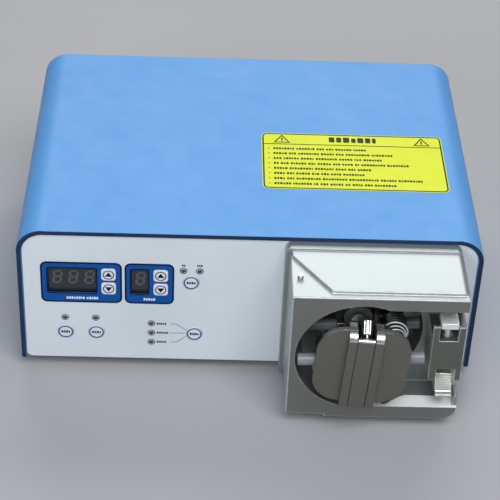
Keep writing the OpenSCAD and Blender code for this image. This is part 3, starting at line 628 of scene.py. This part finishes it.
def foot_recess_washers():
    """A screw head with a washer inside each foot, seen from below."""
    low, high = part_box("rubber_feet")
    foot_r = 9.5 * MM
    profile = [(0, 0.7), (1.6, 0.7), (1.9, 0.9), (1.9, 1.3), (2.9, 1.3), (2.9, 1.6), (0, 1.6)]
    form = bmesh.new()
    for x in (low.x + foot_r, high.x - foot_r):
        for y in (low.y + foot_r, high.y - foot_r):
            def place(px, py, pz, x=x, y=y):
                return Vector((x + px * MM, y + pz * MM, low.z + py * MM))
            lathe(form, profile, place, 32)
    add_piece("foot_screws", form, "case", STEEL, "screw_steel")


# ---------------------------------------------------------------- panel print
INK = 0.05  # how far a print stands proud, in mm
INK_SUNK = 0.04  # and how far its back goes under the surface


def outline_print(name, rows, material, proud=0.0, slot="panel_paint"):
    """One printed piece made of (outer, inner) frames and plain outlines."""
    form = bmesh.new()
    for outer, inner in rows:
        if inner:
            ring_prism(form, outer, inner, panel_place(proud + INK), INK + INK_SUNK)
        else:
            prism(form, outer, panel_place(proud + INK), INK + INK_SUNK)
    return add_piece(name, form, "case", material, slot)


def frame_of(x0, x1, z0, z1, radius, width):
    """The outer and inner outline of a printed frame that lies inside a rounded rectangle."""
    return (round_rect(x0, x1, z0, z1, radius),
            round_rect(x0 + width, x1 - width, z0 + width, z1 - width, max(radius - width, 0.15)))


LETTER_WIDTHS = (0.62, 0.55, 0.7, 0.5, 0.66, 0.58, 0.4)


def letter_blocks(x, z, height, words, centred=False):
    """Plain blocks in place of a line's letters; words holds each word's letter count."""
    blocks, cursor = [], 0.0
    gap, space = 0.2 * height, 0.4 * height
    for letters in words:
        for _ in range(letters):
            count = len(blocks)
            width = LETTER_WIDTHS[count % len(LETTER_WIDTHS)] * height
            rise = 0.36 if count % 5 == 3 else 0.5  # every fifth letter is a short one
            blocks.append((cursor, cursor + width, rise))
            cursor += width + gap
        cursor += space
    start = x - (cursor - gap - space) / 2 if centred else x
    return [round_rect(start + x0, start + x1, z - 0.5 * height, z + rise * height, 0.12 * height, 2)
            for x0, x1, rise in blocks]


# places on the panel, in mm from the case's lower left corner
FIELDS = ((14.4, 65.2), (66.9, 97.8))
FIELD_Z = (46.2, 78.0)
FIELD_RADIUS = 4.0
FIELD_LINE = 1.1
WINDOWS = ((19.0, 49.0), (71.0, 81.5))
WINDOW_Z = (54.0, 73.0)
WINDOW_RIM = 0.9  # how far a window's printed rim reaches past it
LEGEND_Z = 49.8
LAMPS = ((103.6, 72.9), (113.7, 72.9), (28.9, 33.6), (48.3, 33.6),
         (83.6, 30.0), (83.6, 22.3), (83.6, 14.6))
OVERLAY_PROUD = 0.25


def display_fields():
    """The blue fields, their dark outlines, and blocks for the captions under the windows."""
    soften("panel_overlay", BLUE_INK, 0.06, 1)
    rims = [frame_of(x0, x1, *FIELD_Z, FIELD_RADIUS, FIELD_LINE) for x0, x1 in FIELDS]
    low_z, high_z = WINDOW_Z[0] - WINDOW_RIM, WINDOW_Z[1] + WINDOW_RIM
    rims += [frame_of(x0 - WINDOW_RIM, x1 + WINDOW_RIM, low_z, high_z, 1.4, 0.8) for x0, x1 in WINDOWS]
    outline_print("field_outlines", rims, NAVY_INK, OVERLAY_PROUD, "overlay_blue")
    captions = letter_blocks(40.2, LEGEND_Z, 1.9, (8, 5), True)
    captions += letter_blocks(82.3, LEGEND_Z, 1.9, (5,), True)
    rows = [(block, None) for block in captions]
    outline_print("field_legends", rows, WHITE_INK, OVERLAY_PROUD, "overlay_blue")


def windows():
    """The smoked windows and the display modules behind them."""
    soften("display_windows", WINDOW, 0.1, 1)
    repaint("digit_displays", BLACK_PLASTIC)


DIGIT_LEFTS = (21.4, 31.4, 41.4, 73.4)
DIGIT_LOW, DIGIT_HEIGHT, DIGIT_WIDTH = 59.4, 10.6, 5.6
DIGIT_LEAN = 0.12
SEGMENT_WIDTH = 1.35


def segment(x, z, length, upright):
    """One bar of a digit, with pointed ends, centred on (x, z)."""
    half, tip = SEGMENT_WIDTH / 2, length / 2
    shoulder = tip - half
    bar = [(-tip, 0), (-shoulder, -half), (shoulder, -half),
           (tip, 0), (shoulder, half), (-shoulder, half)]
    if upright:
        bar = [(-b, a) for a, b in bar]
    return [(x + a, z + b) for a, b in bar]


def digits():
    """Unlit seven-segment digits behind the smoked windows, leaning slightly to the right."""
    window_front = (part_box("display_windows")[0].y - PANEL_Y) / MM
    middle, half = DIGIT_LOW + DIGIT_HEIGHT / 2, (DIGIT_HEIGHT - SEGMENT_WIDTH) / 2
    form = bmesh.new()
    for left in DIGIT_LEFTS:
        x, right = left + DIGIT_WIDTH / 2, left + DIGIT_WIDTH
        bars = [segment(x, middle + k * half, DIGIT_WIDTH - 1.6, False) for k in (-1, 0, 1)]
        for x in (left + 0.55, right - 0.55):
            bars += [segment(x, middle + k * half / 2, half - 0.35, True) for k in (-1, 1)]
        for bar in bars:
            leaning = [(x + (z - DIGIT_LOW) * DIGIT_LEAN, z) for x, z in bar]
            prism(form, leaning, panel_place(0.04 - window_front), 0.06)
    add_piece("unlit_digits", form, "case", SEGMENT, "display_grey")


# ---------------------------------------------------------------- keys and lamps
KEY_PROUD = 0.7
KEY_DEPTH = 2.7
KEY_PRINT = 0.06
SQUARE_KEYS = {"angle_up_key": 1, "angle_down_key": -1, "speed_up_key": 1, "speed_down_key": -1}
ROUND_KEYS = ("shot_key", "program_key", "direction_key", "mode_key")


def key_centre(node):
    """A key's middle, in panel mm."""
    middle = centre(node)
    return (middle.x - CASE_LEFT) / MM, (middle.z - CASE_BOTTOM) / MM


def key_reach(node):
    """Half of a key's width, in mm."""
    low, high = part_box(node)
    return (high.x - low.x) / 2 / MM


def key_cap(node, outline, edge):
    """The moulded cap that stands in for a CAD key; edge is its rounding in mm."""
    form = bmesh.new()
    prism(form, outline, panel_place(KEY_PROUD), KEY_DEPTH)
    body = frame["nodes"][node]["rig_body"]
    cap = bevel(add_piece(node + "_cap", form, body, KEY_PLASTIC, SLOTS[node]), edge, 3)
    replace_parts(cap, node)


def key_print(node, part, ink, rings, outlines):
    """Frames and plain outlines printed on a key's face, as one piece that moves with the key."""
    form = bmesh.new()
    place = panel_place(KEY_PROUD + 0.02)
    for outer, inner in rings:
        ring_prism(form, outer, inner, place, KEY_PRINT)
    for outline in outlines:
        prism(form, outline, place, KEY_PRINT)
    add_piece(node + part, form, frame["nodes"][node]["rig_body"], ink, SLOTS[node])


def square_key(node, way):
    """A moulded key with a printed ring and an up or down triangle."""
    (x, z), half = key_centre(node), key_reach(node)
    key_cap(node, round_rect(x - half, x + half, z - half, z + half, 2.1, 8), 0.4)
    tip = 2.1 * way
    triangle = [(x - 2.3, z - tip * 0.62), (x + 2.3, z - tip * 0.62), (x, z + tip)]
    key_print(node, "_print", NAVY_INK, [(circle(x, z, 3.55), circle(x, z, 2.9))], [triangle])


def round_key(node):
    """A round key with a blue rim and a short line of blocks."""
    (x, z), radius = key_centre(node), key_reach(node)
    key_cap(node, circle(x, z, radius, 72), 0.35)
    rim = circle(x, z, radius - 0.36, 72), circle(x, z, radius - 1.3, 72)
    key_print(node, "_rim", RIM_INK, [rim], [])
    key_print(node, "_legend", NAVY_INK, [], letter_blocks(x, z, 1.9, (4,), centred=True))


def lamps():
    """Unlit lamps in moulded bezels with a printed ring."""
    soften("indicator_lights", LENS, 0)
    rings = [(circle(x, z, 2.42), circle(x, z, 1.8)) for x, z in LAMPS]
    outline_print("lamp_rings", rings, NAVY_INK)
    form = bmesh.new()
    for x, z in LAMPS:
        ring_prism(form, circle(x, z, 1.85, 40), circle(x, z, 1.52, 40), panel_place(0.22), 0.3)
    bevel(add_piece("lamp_bezels", form, "case", KEY_PLASTIC, "panel_paint"), 0.08, 2)


MODE_ROWS = ((29.8, 5, 2.6), (22.4, 6, 0.0), (14.8, 5, -2.6))  # height, letters, and the line's end
LINE_STOP = 5.9  # the lines end this far from the key's middle
LINE_WIDTH = 0.32


def legends():
    """Plain blocks for the small captions, and the lines from the mode lamps to their key."""
    blocks = letter_blocks(103.6, 77.2, 1.5, (2,), True)
    blocks += letter_blocks(113.7, 77.2, 1.5, (3,), True)
    for z, letters, _ in MODE_ROWS:
        blocks += letter_blocks(87.0, z, 1.6, (letters,))
    outline_print("mode_legends", [(block, None) for block in blocks], NAVY_INK)
    key_x, key_z = key_centre("mode_key")
    lines = []
    for z, _, end_z in MODE_ROWS:
        end = key_x - math.sqrt(LINE_STOP ** 2 - end_z ** 2), key_z + end_z
        bend = 99.6 if end_z else 98.0
        lines += [stroke((96.0, z), (bend, z), LINE_WIDTH), stroke((bend, z), end, LINE_WIDTH)]
    outline_print("mode_lines", lines, NAVY_INK)


def stroke(start, end, width):
    """A straight printed line as a thin quad."""
    (x0, z0), (x1, z1) = start, end
    length = math.hypot(x1 - x0, z1 - z0)
    nx, nz = -(z1 - z0) / length * width / 2, (x1 - x0) / length * width / 2
    return ([(x0 - nx, z0 - nz), (x1 - nx, z1 - nz), (x1 + nx, z1 + nz), (x0 + nx, z0 + nz)], None)


# ---------------------------------------------------------------- label on the cover
# each row's words, by their letter counts
LABEL_ROWS = ((8, 7, 3, 3, 6, 5), (5, 3, 8, 5, 3, 9, 8), (3, 6, 5, 8, 5, 3, 7),
              (2, 3, 6, 3, 5, 3, 4, 2, 9, 8), (5, 9, 7, 4, 3, 5), (4, 3, 5, 3, 3, 4, 8),
              (4, 3, 9, 9, 11, 6, 9), (6, 7, 2, 3, 5, 2, 4, 3, 8))


def top_label():
    """The yellow film, its frame and title, two plain warning triangles and rows of blocks."""
    low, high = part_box("top_label")
    print_t = 0.03
    bar_low, bar_high, bar_inset = 51.1, 51.9, 0.8

    def place(x, y, z):
        """Label mm, from its lower left corner seen from the front; y = 0 is the top of the print."""
        return Vector((low.x + x * MM, low.y + z * MM, high.z - y * MM))

    def film_place(x, y, z):
        return place(x, y + print_t, z)

    wide, deep = (high.x - low.x) / MM, (high.y - low.y) / MM
    film_t = (high.z - low.z) / MM - print_t
    form = bmesh.new()
    prism(form, round_rect(0, wide, 0, deep, 4, 10), film_place, film_t)
    film = add_piece("label_film", form, "case", LABEL, "label_yellow")
    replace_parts(film, "top_label")
    form = bmesh.new()
    outer, inner = frame_of(0.5, wide - 0.5, 0.5, deep - 0.5, 3.6, 1.0)
    ring_prism(form, outer, inner, place, print_t)
    prism(form, round_rect(bar_inset, wide - bar_inset, bar_low, bar_high, 0), place, print_t)
    for block in letter_blocks(60.5, 57.9, 6.0, (7,), True):
        prism(form, block, place, print_t)
    side, tall, foot = 5.6, 9.4, 53.2
    for x in (13.5, 106.5):
        outer = [(x - side, foot), (x + side, foot), (x, foot + tall)]
        middle_z = foot + tall / 3
        inner = [(x + (px - x) * 0.72, middle_z + (pz - middle_z) * 0.72) for px, pz in outer]
        ring_prism(form, outer, inner, place, print_t)
        prism(form, round_rect(x - 0.5, x + 0.5, 55.9, 58.9, 0.3, 3), place, print_t)
        prism(form, circle(x, 54.9, 0.5, 14), place, print_t)
    for i, words in enumerate(LABEL_ROWS):
        z = 46.2 - i * 5.75
        prism(form, circle(4.6, z, 0.5, 14), place, print_t)
        for block in letter_blocks(7.6, z, 2.3, words):
            prism(form, block, place, print_t)
    add_piece("label_print", form, "case", GREEN_INK, "label_yellow")


# ---------------------------------------------------------------- head
def head():
    """The pump head without its rotor."""
    housing()
    soften("guard_stubs", STEEL, 0.35, 2)
    soften("housing_screws", BLACK_SCREW, 0.2)
    # the bevel faces of the carrier and both clamps get brighter edge metal as painted highlights
    carrier = soften("clamp_carrier", CLAMP_BODY, 0.3, 2, edge=DULL_EDGE)
    # the carrier's left face gets the lighter copy as painted light
    second_material(carrier, LIT_CARRIER_SIDE, lambda middle, normal: normal.x < -0.7)
    soften("upper_clamp", CLAMP_PAD, 0.4, 2, edge=BRIGHT_EDGE)
    soften("lower_clamp", THUMB_PAD, 0.35, 2, edge=BRIGHT_EDGE)
    clamp_springs()
    thumb_ridges()


def from_axis(place):
    """A place's distances across, in front of the panel and up from the rotor axis, in mm."""
    return (place.x - AXIS.x) / MM, (FRONT_Y - place.y) / MM, (place.z - AXIS.z) / MM


def in_hollow(place):
    """Whether a place on the housing lies in its chamber, tube channel or clamp pocket."""
    across, _, up = from_axis(place)
    chamber = math.hypot(across, up) < 40.6
    channel = 0 < across < 62.95 and -39 < up < 37.6
    pocket = 0 < across < 58 and -42 < up < 0
    return chamber or channel or pocket


def housing():
    """The casting: broad rounds outside, small ones inside, a near-white track strip as painted light, a
    less metallic copy on the inner walls as painted light, and a darker copy on the front faces as
    painted shade.
    """
    stub = centre("guard_stubs")

    def in_spigot_hole(place):
        return math.hypot(place.x - stub.x, place.y - stub.y) < 1.4 * MM

    def at_lower_corner(place):
        across, v, up = from_axis(place)
        return across < -43.7 and up < -43.4 and v > 7

    def weigh(place):
        """The share of the full rounding: none on the panel's side, little on flange and upstand."""
        across, v, up = from_axis(place)
        if v < 4.2:
            return 0.0
        if v < 6.6 or (across > 59 and -39.2 < up < -20):
            return 0.25
        return 0.35 if in_hollow(place) else 1.0

    def walls(place, normal):
        return in_hollow(place) and 3.9 < from_axis(place)[1] < 49.9

    def lit_track_strip(place, normal):
        across, _, up = from_axis(place)
        return walls(place, normal) and abs(up + 38.9) < 0.6 and across > 0

    def shaded_front_face(place, normal):
        return normal.y < -0.95 and from_axis(place)[1] > 49

    piece = close_holes(soften("pump_housing", HOUSING, 0), in_spigot_hole)
    merge_near(piece, at_lower_corner, 1.2)
    # the chamber and channel walls get the less metallic copy as painted light
    second_material(piece, LIT_INNER, walls)
    # the floor strip of the track gets the near-white copy as painted light
    second_material(piece, LIT_TRACK, lit_track_strip)
    # the housing's front faces get the darker copy as painted shade
    second_material(piece, SHADED_FRONT_FACE, shaded_front_face)
    # the housing's bevel faces get the brighter dull edge metal as painted highlights
    edge_material(weighted_bevel(piece, 0.8, weigh), DULL_EDGE)


def head_place(x, v, z):
    """A place in the head, in mm from the rotor axis; v is the distance in front of the panel."""
    return AXIS + Vector((x * MM, -v * MM, z * MM))


CLAMP_WIRE = 0.62
CLAMP_TURNS = 8


def clamp_springs():
    """Wound springs behind the two clamps."""
    for clamp, joint in (("upper_clamp", "clamp_top_slide"), ("lower_clamp", "clamp_bottom_slide")):
        node = clamp + "_spring"
        low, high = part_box(node)
        middle = centre(node)
        radius = ((high.x - low.x) / MM - CLAMP_WIRE) / 2
        reach = (high.z - low.z) / MM

        def place(x, along, z, low=low, middle=middle):
            return Vector((middle.x + x * MM, middle.y + z * MM, low.z + (along + CLAMP_WIRE / 2) * MM))
        coil = as_mesh(helix(node + "_coil", "case", place, radius, CLAMP_WIRE, reach - CLAMP_WIRE,
                             CLAMP_TURNS, SPRING, SLOTS[node]))
        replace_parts(coil, node)
        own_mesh(coil)


THUMB_SIDES = (48.5, 57.9)
THUMB_TOP = (43.2, -18.2)  # the sloping face's upper and lower end, as (v, z) from the rotor axis
THUMB_FOOT = (48.1, -25.8)
RIB = ((-0.35, -0.15), (0.35, -0.15), (0.12, 0.09), (-0.12, 0.09))
RIBS = 7


def thumb_ridges():
    """Fine ribs across the sloping thumb face of the lower clamp."""
    form = bmesh.new()
    fall_v, fall_z = THUMB_FOOT[0] - THUMB_TOP[0], THUMB_FOOT[1] - THUMB_TOP[1]
    run = math.hypot(fall_v, fall_z)
    for i in range(RIBS):
        share = i / (RIBS - 1)
        v, z = THUMB_TOP[0] + fall_v * share, THUMB_TOP[1] + fall_z * share
        outline = [(v + (fall_v * a - fall_z * b) / run, z + (fall_z * a + fall_v * b) / run)
                   for a, b in RIB]
        ends = [[form.verts.new(head_place(x, pv, pz)) for pv, pz in outline] for x in THUMB_SIDES]
        form.faces.new(ends[0])
        form.faces.new(reversed(ends[1]))
        for a in range(len(RIB)):
            b = (a + 1) % len(RIB)
            form.faces.new((ends[0][a], ends[1][a], ends[1][b], ends[0][b]))
    add_piece("thumb_ridges", form, "clamp_bottom", THUMB_PAD, "clamp_pad")


# ---------------------------------------------------------------- rotor
def rotor():
    """The plates with a painted highlight on their upper end, the hub, pins, arms and rollers."""
    def lit_upper_end(place, normal):
        return normal.z > 0.2 and in_rotor_z(place) > 20

    # the bevel faces of the rotor plates and crank bar get edge metal as painted highlights
    plate = soften("rotor_front_plate", ROTOR_METAL, 0.32, 3, edge=DARK_EDGE)
    bar = soften("crank_bar", ROTOR_METAL, 0.25, 3, edge=DARK_EDGE)
    # upward faces at the upper end get the bright edge metal as a painted highlight, which turns with the
    # rotor
    for piece in (plate, bar):
        second_material(piece, BRIGHT_EDGE, lit_upper_end)
    soften("rotor_rear_plate", ROTOR_METAL, 0.32, 2, edge=DULL_EDGE)
    soften("rotor_hub", HUB_METAL, 0.3, 2)
    soften("crank_pin", STEEL, 0.15, 2)
    for node in ("arm_pivots", "guide_pins", "drive_shaft"):
        soften(node, STEEL, 0.3, 2)
    soften("detent_nose", NICKEL, 0.25, 3)
    for side in ("a", "b"):
        soften("roller_arm_" + side, ARM_METAL, 0.35, 2)
        soften("main_roller_" + side, SHADED_NYLON, 0.6, 3)
    for place in ("front_left", "front_right", "rear_left", "rear_right"):
        soften("guide_roller_" + place, ACETAL, 0.5, 3)
    detent()
    arm_springs()


SLEEVE_FLUTES = 16
SLEEVE_CREST, SLEEVE_GROOVE = 2.33, 2.08
SLEEVE_PROFILE = ((0.82, 4.0), (1.0, 4.5), (1.0, 12.6), (0.86, 12.98))  # share of the radius, distance


def detent():
    """A fluted sleeve with a crowned end, along the detent's own axis."""
    axis = Vector(JOINTS["detent_press"]["axis"])
    side = (ROTOR_FRAME.to_3x3() @ Vector((1, 0, 0))).normalized()
    up = axis.cross(side)
    root = in_rotor(0, 60, 21.6)
    corners = SLEEVE_FLUTES * 4
    form = bmesh.new()
    rings = []
    for radius_share, along in SLEEVE_PROFILE:
        ring = []
        for i in range(corners):
            turn = 2 * math.pi * i / corners
            radius = (SLEEVE_CREST if i % 4 < 2 else SLEEVE_GROOVE) * radius_share
            spot = side * math.cos(turn) * radius + up * math.sin(turn) * radius + axis * along
            ring.append(form.verts.new(root + spot * MM))
        rings.append(ring)
    for first, second in zip(rings, rings[1:]):
        for i, corner in enumerate(first):
            j = (i + 1) % len(first)
            form.faces.new((corner, first[j], second[j], second[i]))
    form.faces.new(rings[0])
    form.faces.new(reversed(rings[-1]))
    sleeve = add_piece("detent_sleeve", form, "rotor", NICKEL, SLOTS["detent_body"], 25)
    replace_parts(sleeve, "detent_body")


ARM_X, ARM_Z = 19, 16  # the pivots' places from the rotor axis
ARM_SPRING_V = 31.9  # and where their springs begin
ARM_RINGS = ((7.8, 0.6, 10.6), (6.5, 0.5, 12.4), (5.9, 0.5, 15.0))  # radius, half thickness, distance


def arm_springs():
    """Wound springs around the sleeves of the two arms, dark as painted shade, with bright rings at the
    front as painted highlights.
    """
    slot = SLOTS["arm_springs"]
    coils = []
    for side, sign in (("a", 1), ("b", -1)):
        def place(x, along, z, sign=sign):
            return in_rotor(ARM_X * sign + x, ARM_SPRING_V + along, ARM_Z * sign + z)
        # the coils get the dark wire as painted shade, and the rings below get the bright metal as
        # painted highlights
        coil = helix("arm_spring_coil_" + side, "rotor", place, 7.3, 1.6, 10.0, 6, SHADED_SPRING, slot)
        coils.append(as_mesh(coil))
        form = bmesh.new()
        for radius, thick, along in ARM_RINGS:
            turns = [2 * math.pi * i / 12 for i in range(13)]
            ring = [(radius + thick * math.cos(a), along + thick * math.sin(a)) for a in turns]
            lathe(form, ring, place, 56)
        bmesh.ops.remove_doubles(form, verts=form.verts, dist=1e-7)
        add_piece("arm_spring_ring_" + side, form, "rotor", HIGHLIGHT_RING, slot, 60)
    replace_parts(coils[0], "arm_springs")


# ---------------------------------------------------------------- rear and inside
def rear():
    """The fan, the mains inlet with its switch and fuse, and the foot-switch socket."""
    soften("fan_frame", BLACK_PLASTIC, 0.4)
    soften("fan_blades", BLACK_PLASTIC, 0.25)
    repaint("fan_guard", NICKEL)
    soften("mains_inlet", BLACK_PLASTIC, 0.4)
    soften("rocker_switch", RED_PLASTIC, 0.4, 3)
    soften("fuse_drawer", BLACK_PLASTIC, 0.3)
    soften("footswitch_socket", BLACK_PLASTIC, 0.5)


def inside():
    """What the case hides keeps its CAD shapes."""
    hidden = {"display_board": BOARD, "control_board": BOARD, "board_standoffs": BRASS,
              "power_supply": ZINC, "motor_body": ENAMEL, "motor_bracket": ZINC, "drive_bearing": STEEL}
    for node, material in hidden.items():
        repaint(node, material)


# ---------------------------------------------------------------- stage
CAMERA_PLACE = Vector((-0.03074, -0.89163, 0.71562))
CAMERA_TURNS = (0.0369, 0.6479, 0.0468)  # yaw, pitch and roll, in radians
CAMERA_LENS = 119.3
FLOOR_HALF = 6.0
FLOOR_DROP = 0.0002  # the floor lies this far below the feet


def camera():
    """Stands in front of the case's middle, above it, and looks down at about 37 degrees."""
    yaw, pitch, roll = CAMERA_TURNS
    flat = math.cos(pitch)
    forward = Vector((math.sin(yaw) * flat, math.cos(yaw) * flat, -math.sin(pitch)))
    level = Vector((math.cos(yaw), -math.sin(yaw), 0))
    upward = level.cross(forward)
    right = math.cos(roll) * level + math.sin(roll) * upward
    upward = -math.sin(roll) * level + math.cos(roll) * upward
    data = bpy.data.cameras.new("camera")
    data.lens = CAMERA_LENS
    data.sensor_width = 36
    data.clip_start = 0.01
    data.clip_end = 20
    view = bpy.data.objects.new("camera", data)
    turn = Matrix((right, upward, -forward)).transposed()
    view.matrix_world = Matrix.Translation(CAMERA_PLACE) @ turn.to_4x4()
    bpy.context.scene.collection.objects.link(view)
    bpy.context.scene.camera = view


def softbox(name, place, target, width, height, power, colour=(1, 1, 1)):
    """A rectangular studio light that faces its target; lengths in metres."""
    data = bpy.data.lights.new(name, "AREA")
    data.shape = "RECTANGLE"
    data.size, data.size_y = width, height
    data.energy = power
    data.color = colour
    lamp = bpy.data.objects.new(name, data)
    lamp.location = place
    lamp.rotation_euler = (Vector(target) - Vector(place)).to_track_quat("-Z", "Y").to_euler()
    bpy.context.scene.collection.objects.link(lamp)


def studio():
    """A pale floor, a dim sky and three soft lights."""
    finish = Finish("studio_floor", srgb(178, 179, 182), roughness=0.8, specular=0.2)
    finish.mottle(srgb(172, 173, 177), 3, 0.4, 0.7, 0.5)
    finish.bump(60, 0.05, 0.0005)
    form = bmesh.new()
    corners = ((-1, -1), (1, -1), (1, 1), (-1, 1))
    spots = [(x * FLOOR_HALF, y * FLOOR_HALF, -FLOOR_DROP) for x, y in corners]
    form.faces.new([form.verts.new(spot) for spot in spots])
    mesh = bpy.data.meshes.new("floor")
    form.to_mesh(mesh)
    form.free()
    mesh.materials.append(finish.material)
    floor = bpy.data.objects.new("floor", mesh)
    bpy.context.scene.collection.objects.link(floor)
    world = bpy.data.worlds.new("studio_world")
    world.use_nodes = True
    world.node_tree.nodes["Background"].inputs["Color"].default_value = (0.8, 0.86, 0.95, 1)
    world.node_tree.nodes["Background"].inputs["Strength"].default_value = 0.14
    bpy.context.scene.world = world
    softbox("back_softbox", (0.15, 1.5, 1.3), (0.0, 0.0, 0.05), 1.9, 1.1, 24, (1.0, 0.99, 0.97))
    softbox("front_key", (0.3, -1.0, 1.5), (0.02, -0.05, 0.05), 1.2, 0.9, 21, (0.97, 0.985, 1.0))
    softbox("left_fill", (-0.9, -1.7, 0.9), (0, 0, 0.05), 1.0, 0.8, 13, (0.96, 0.98, 1.0))
    bpy.context.scene.view_settings.view_transform = "Standard"


case_shell()
display_fields()
windows()
digits()
for key, way in SQUARE_KEYS.items():
    square_key(key, way)
for key in ROUND_KEYS:
    round_key(key)
lamps()
legends()
top_label()
head()
rotor()
rear()
inside()
camera()
studio()
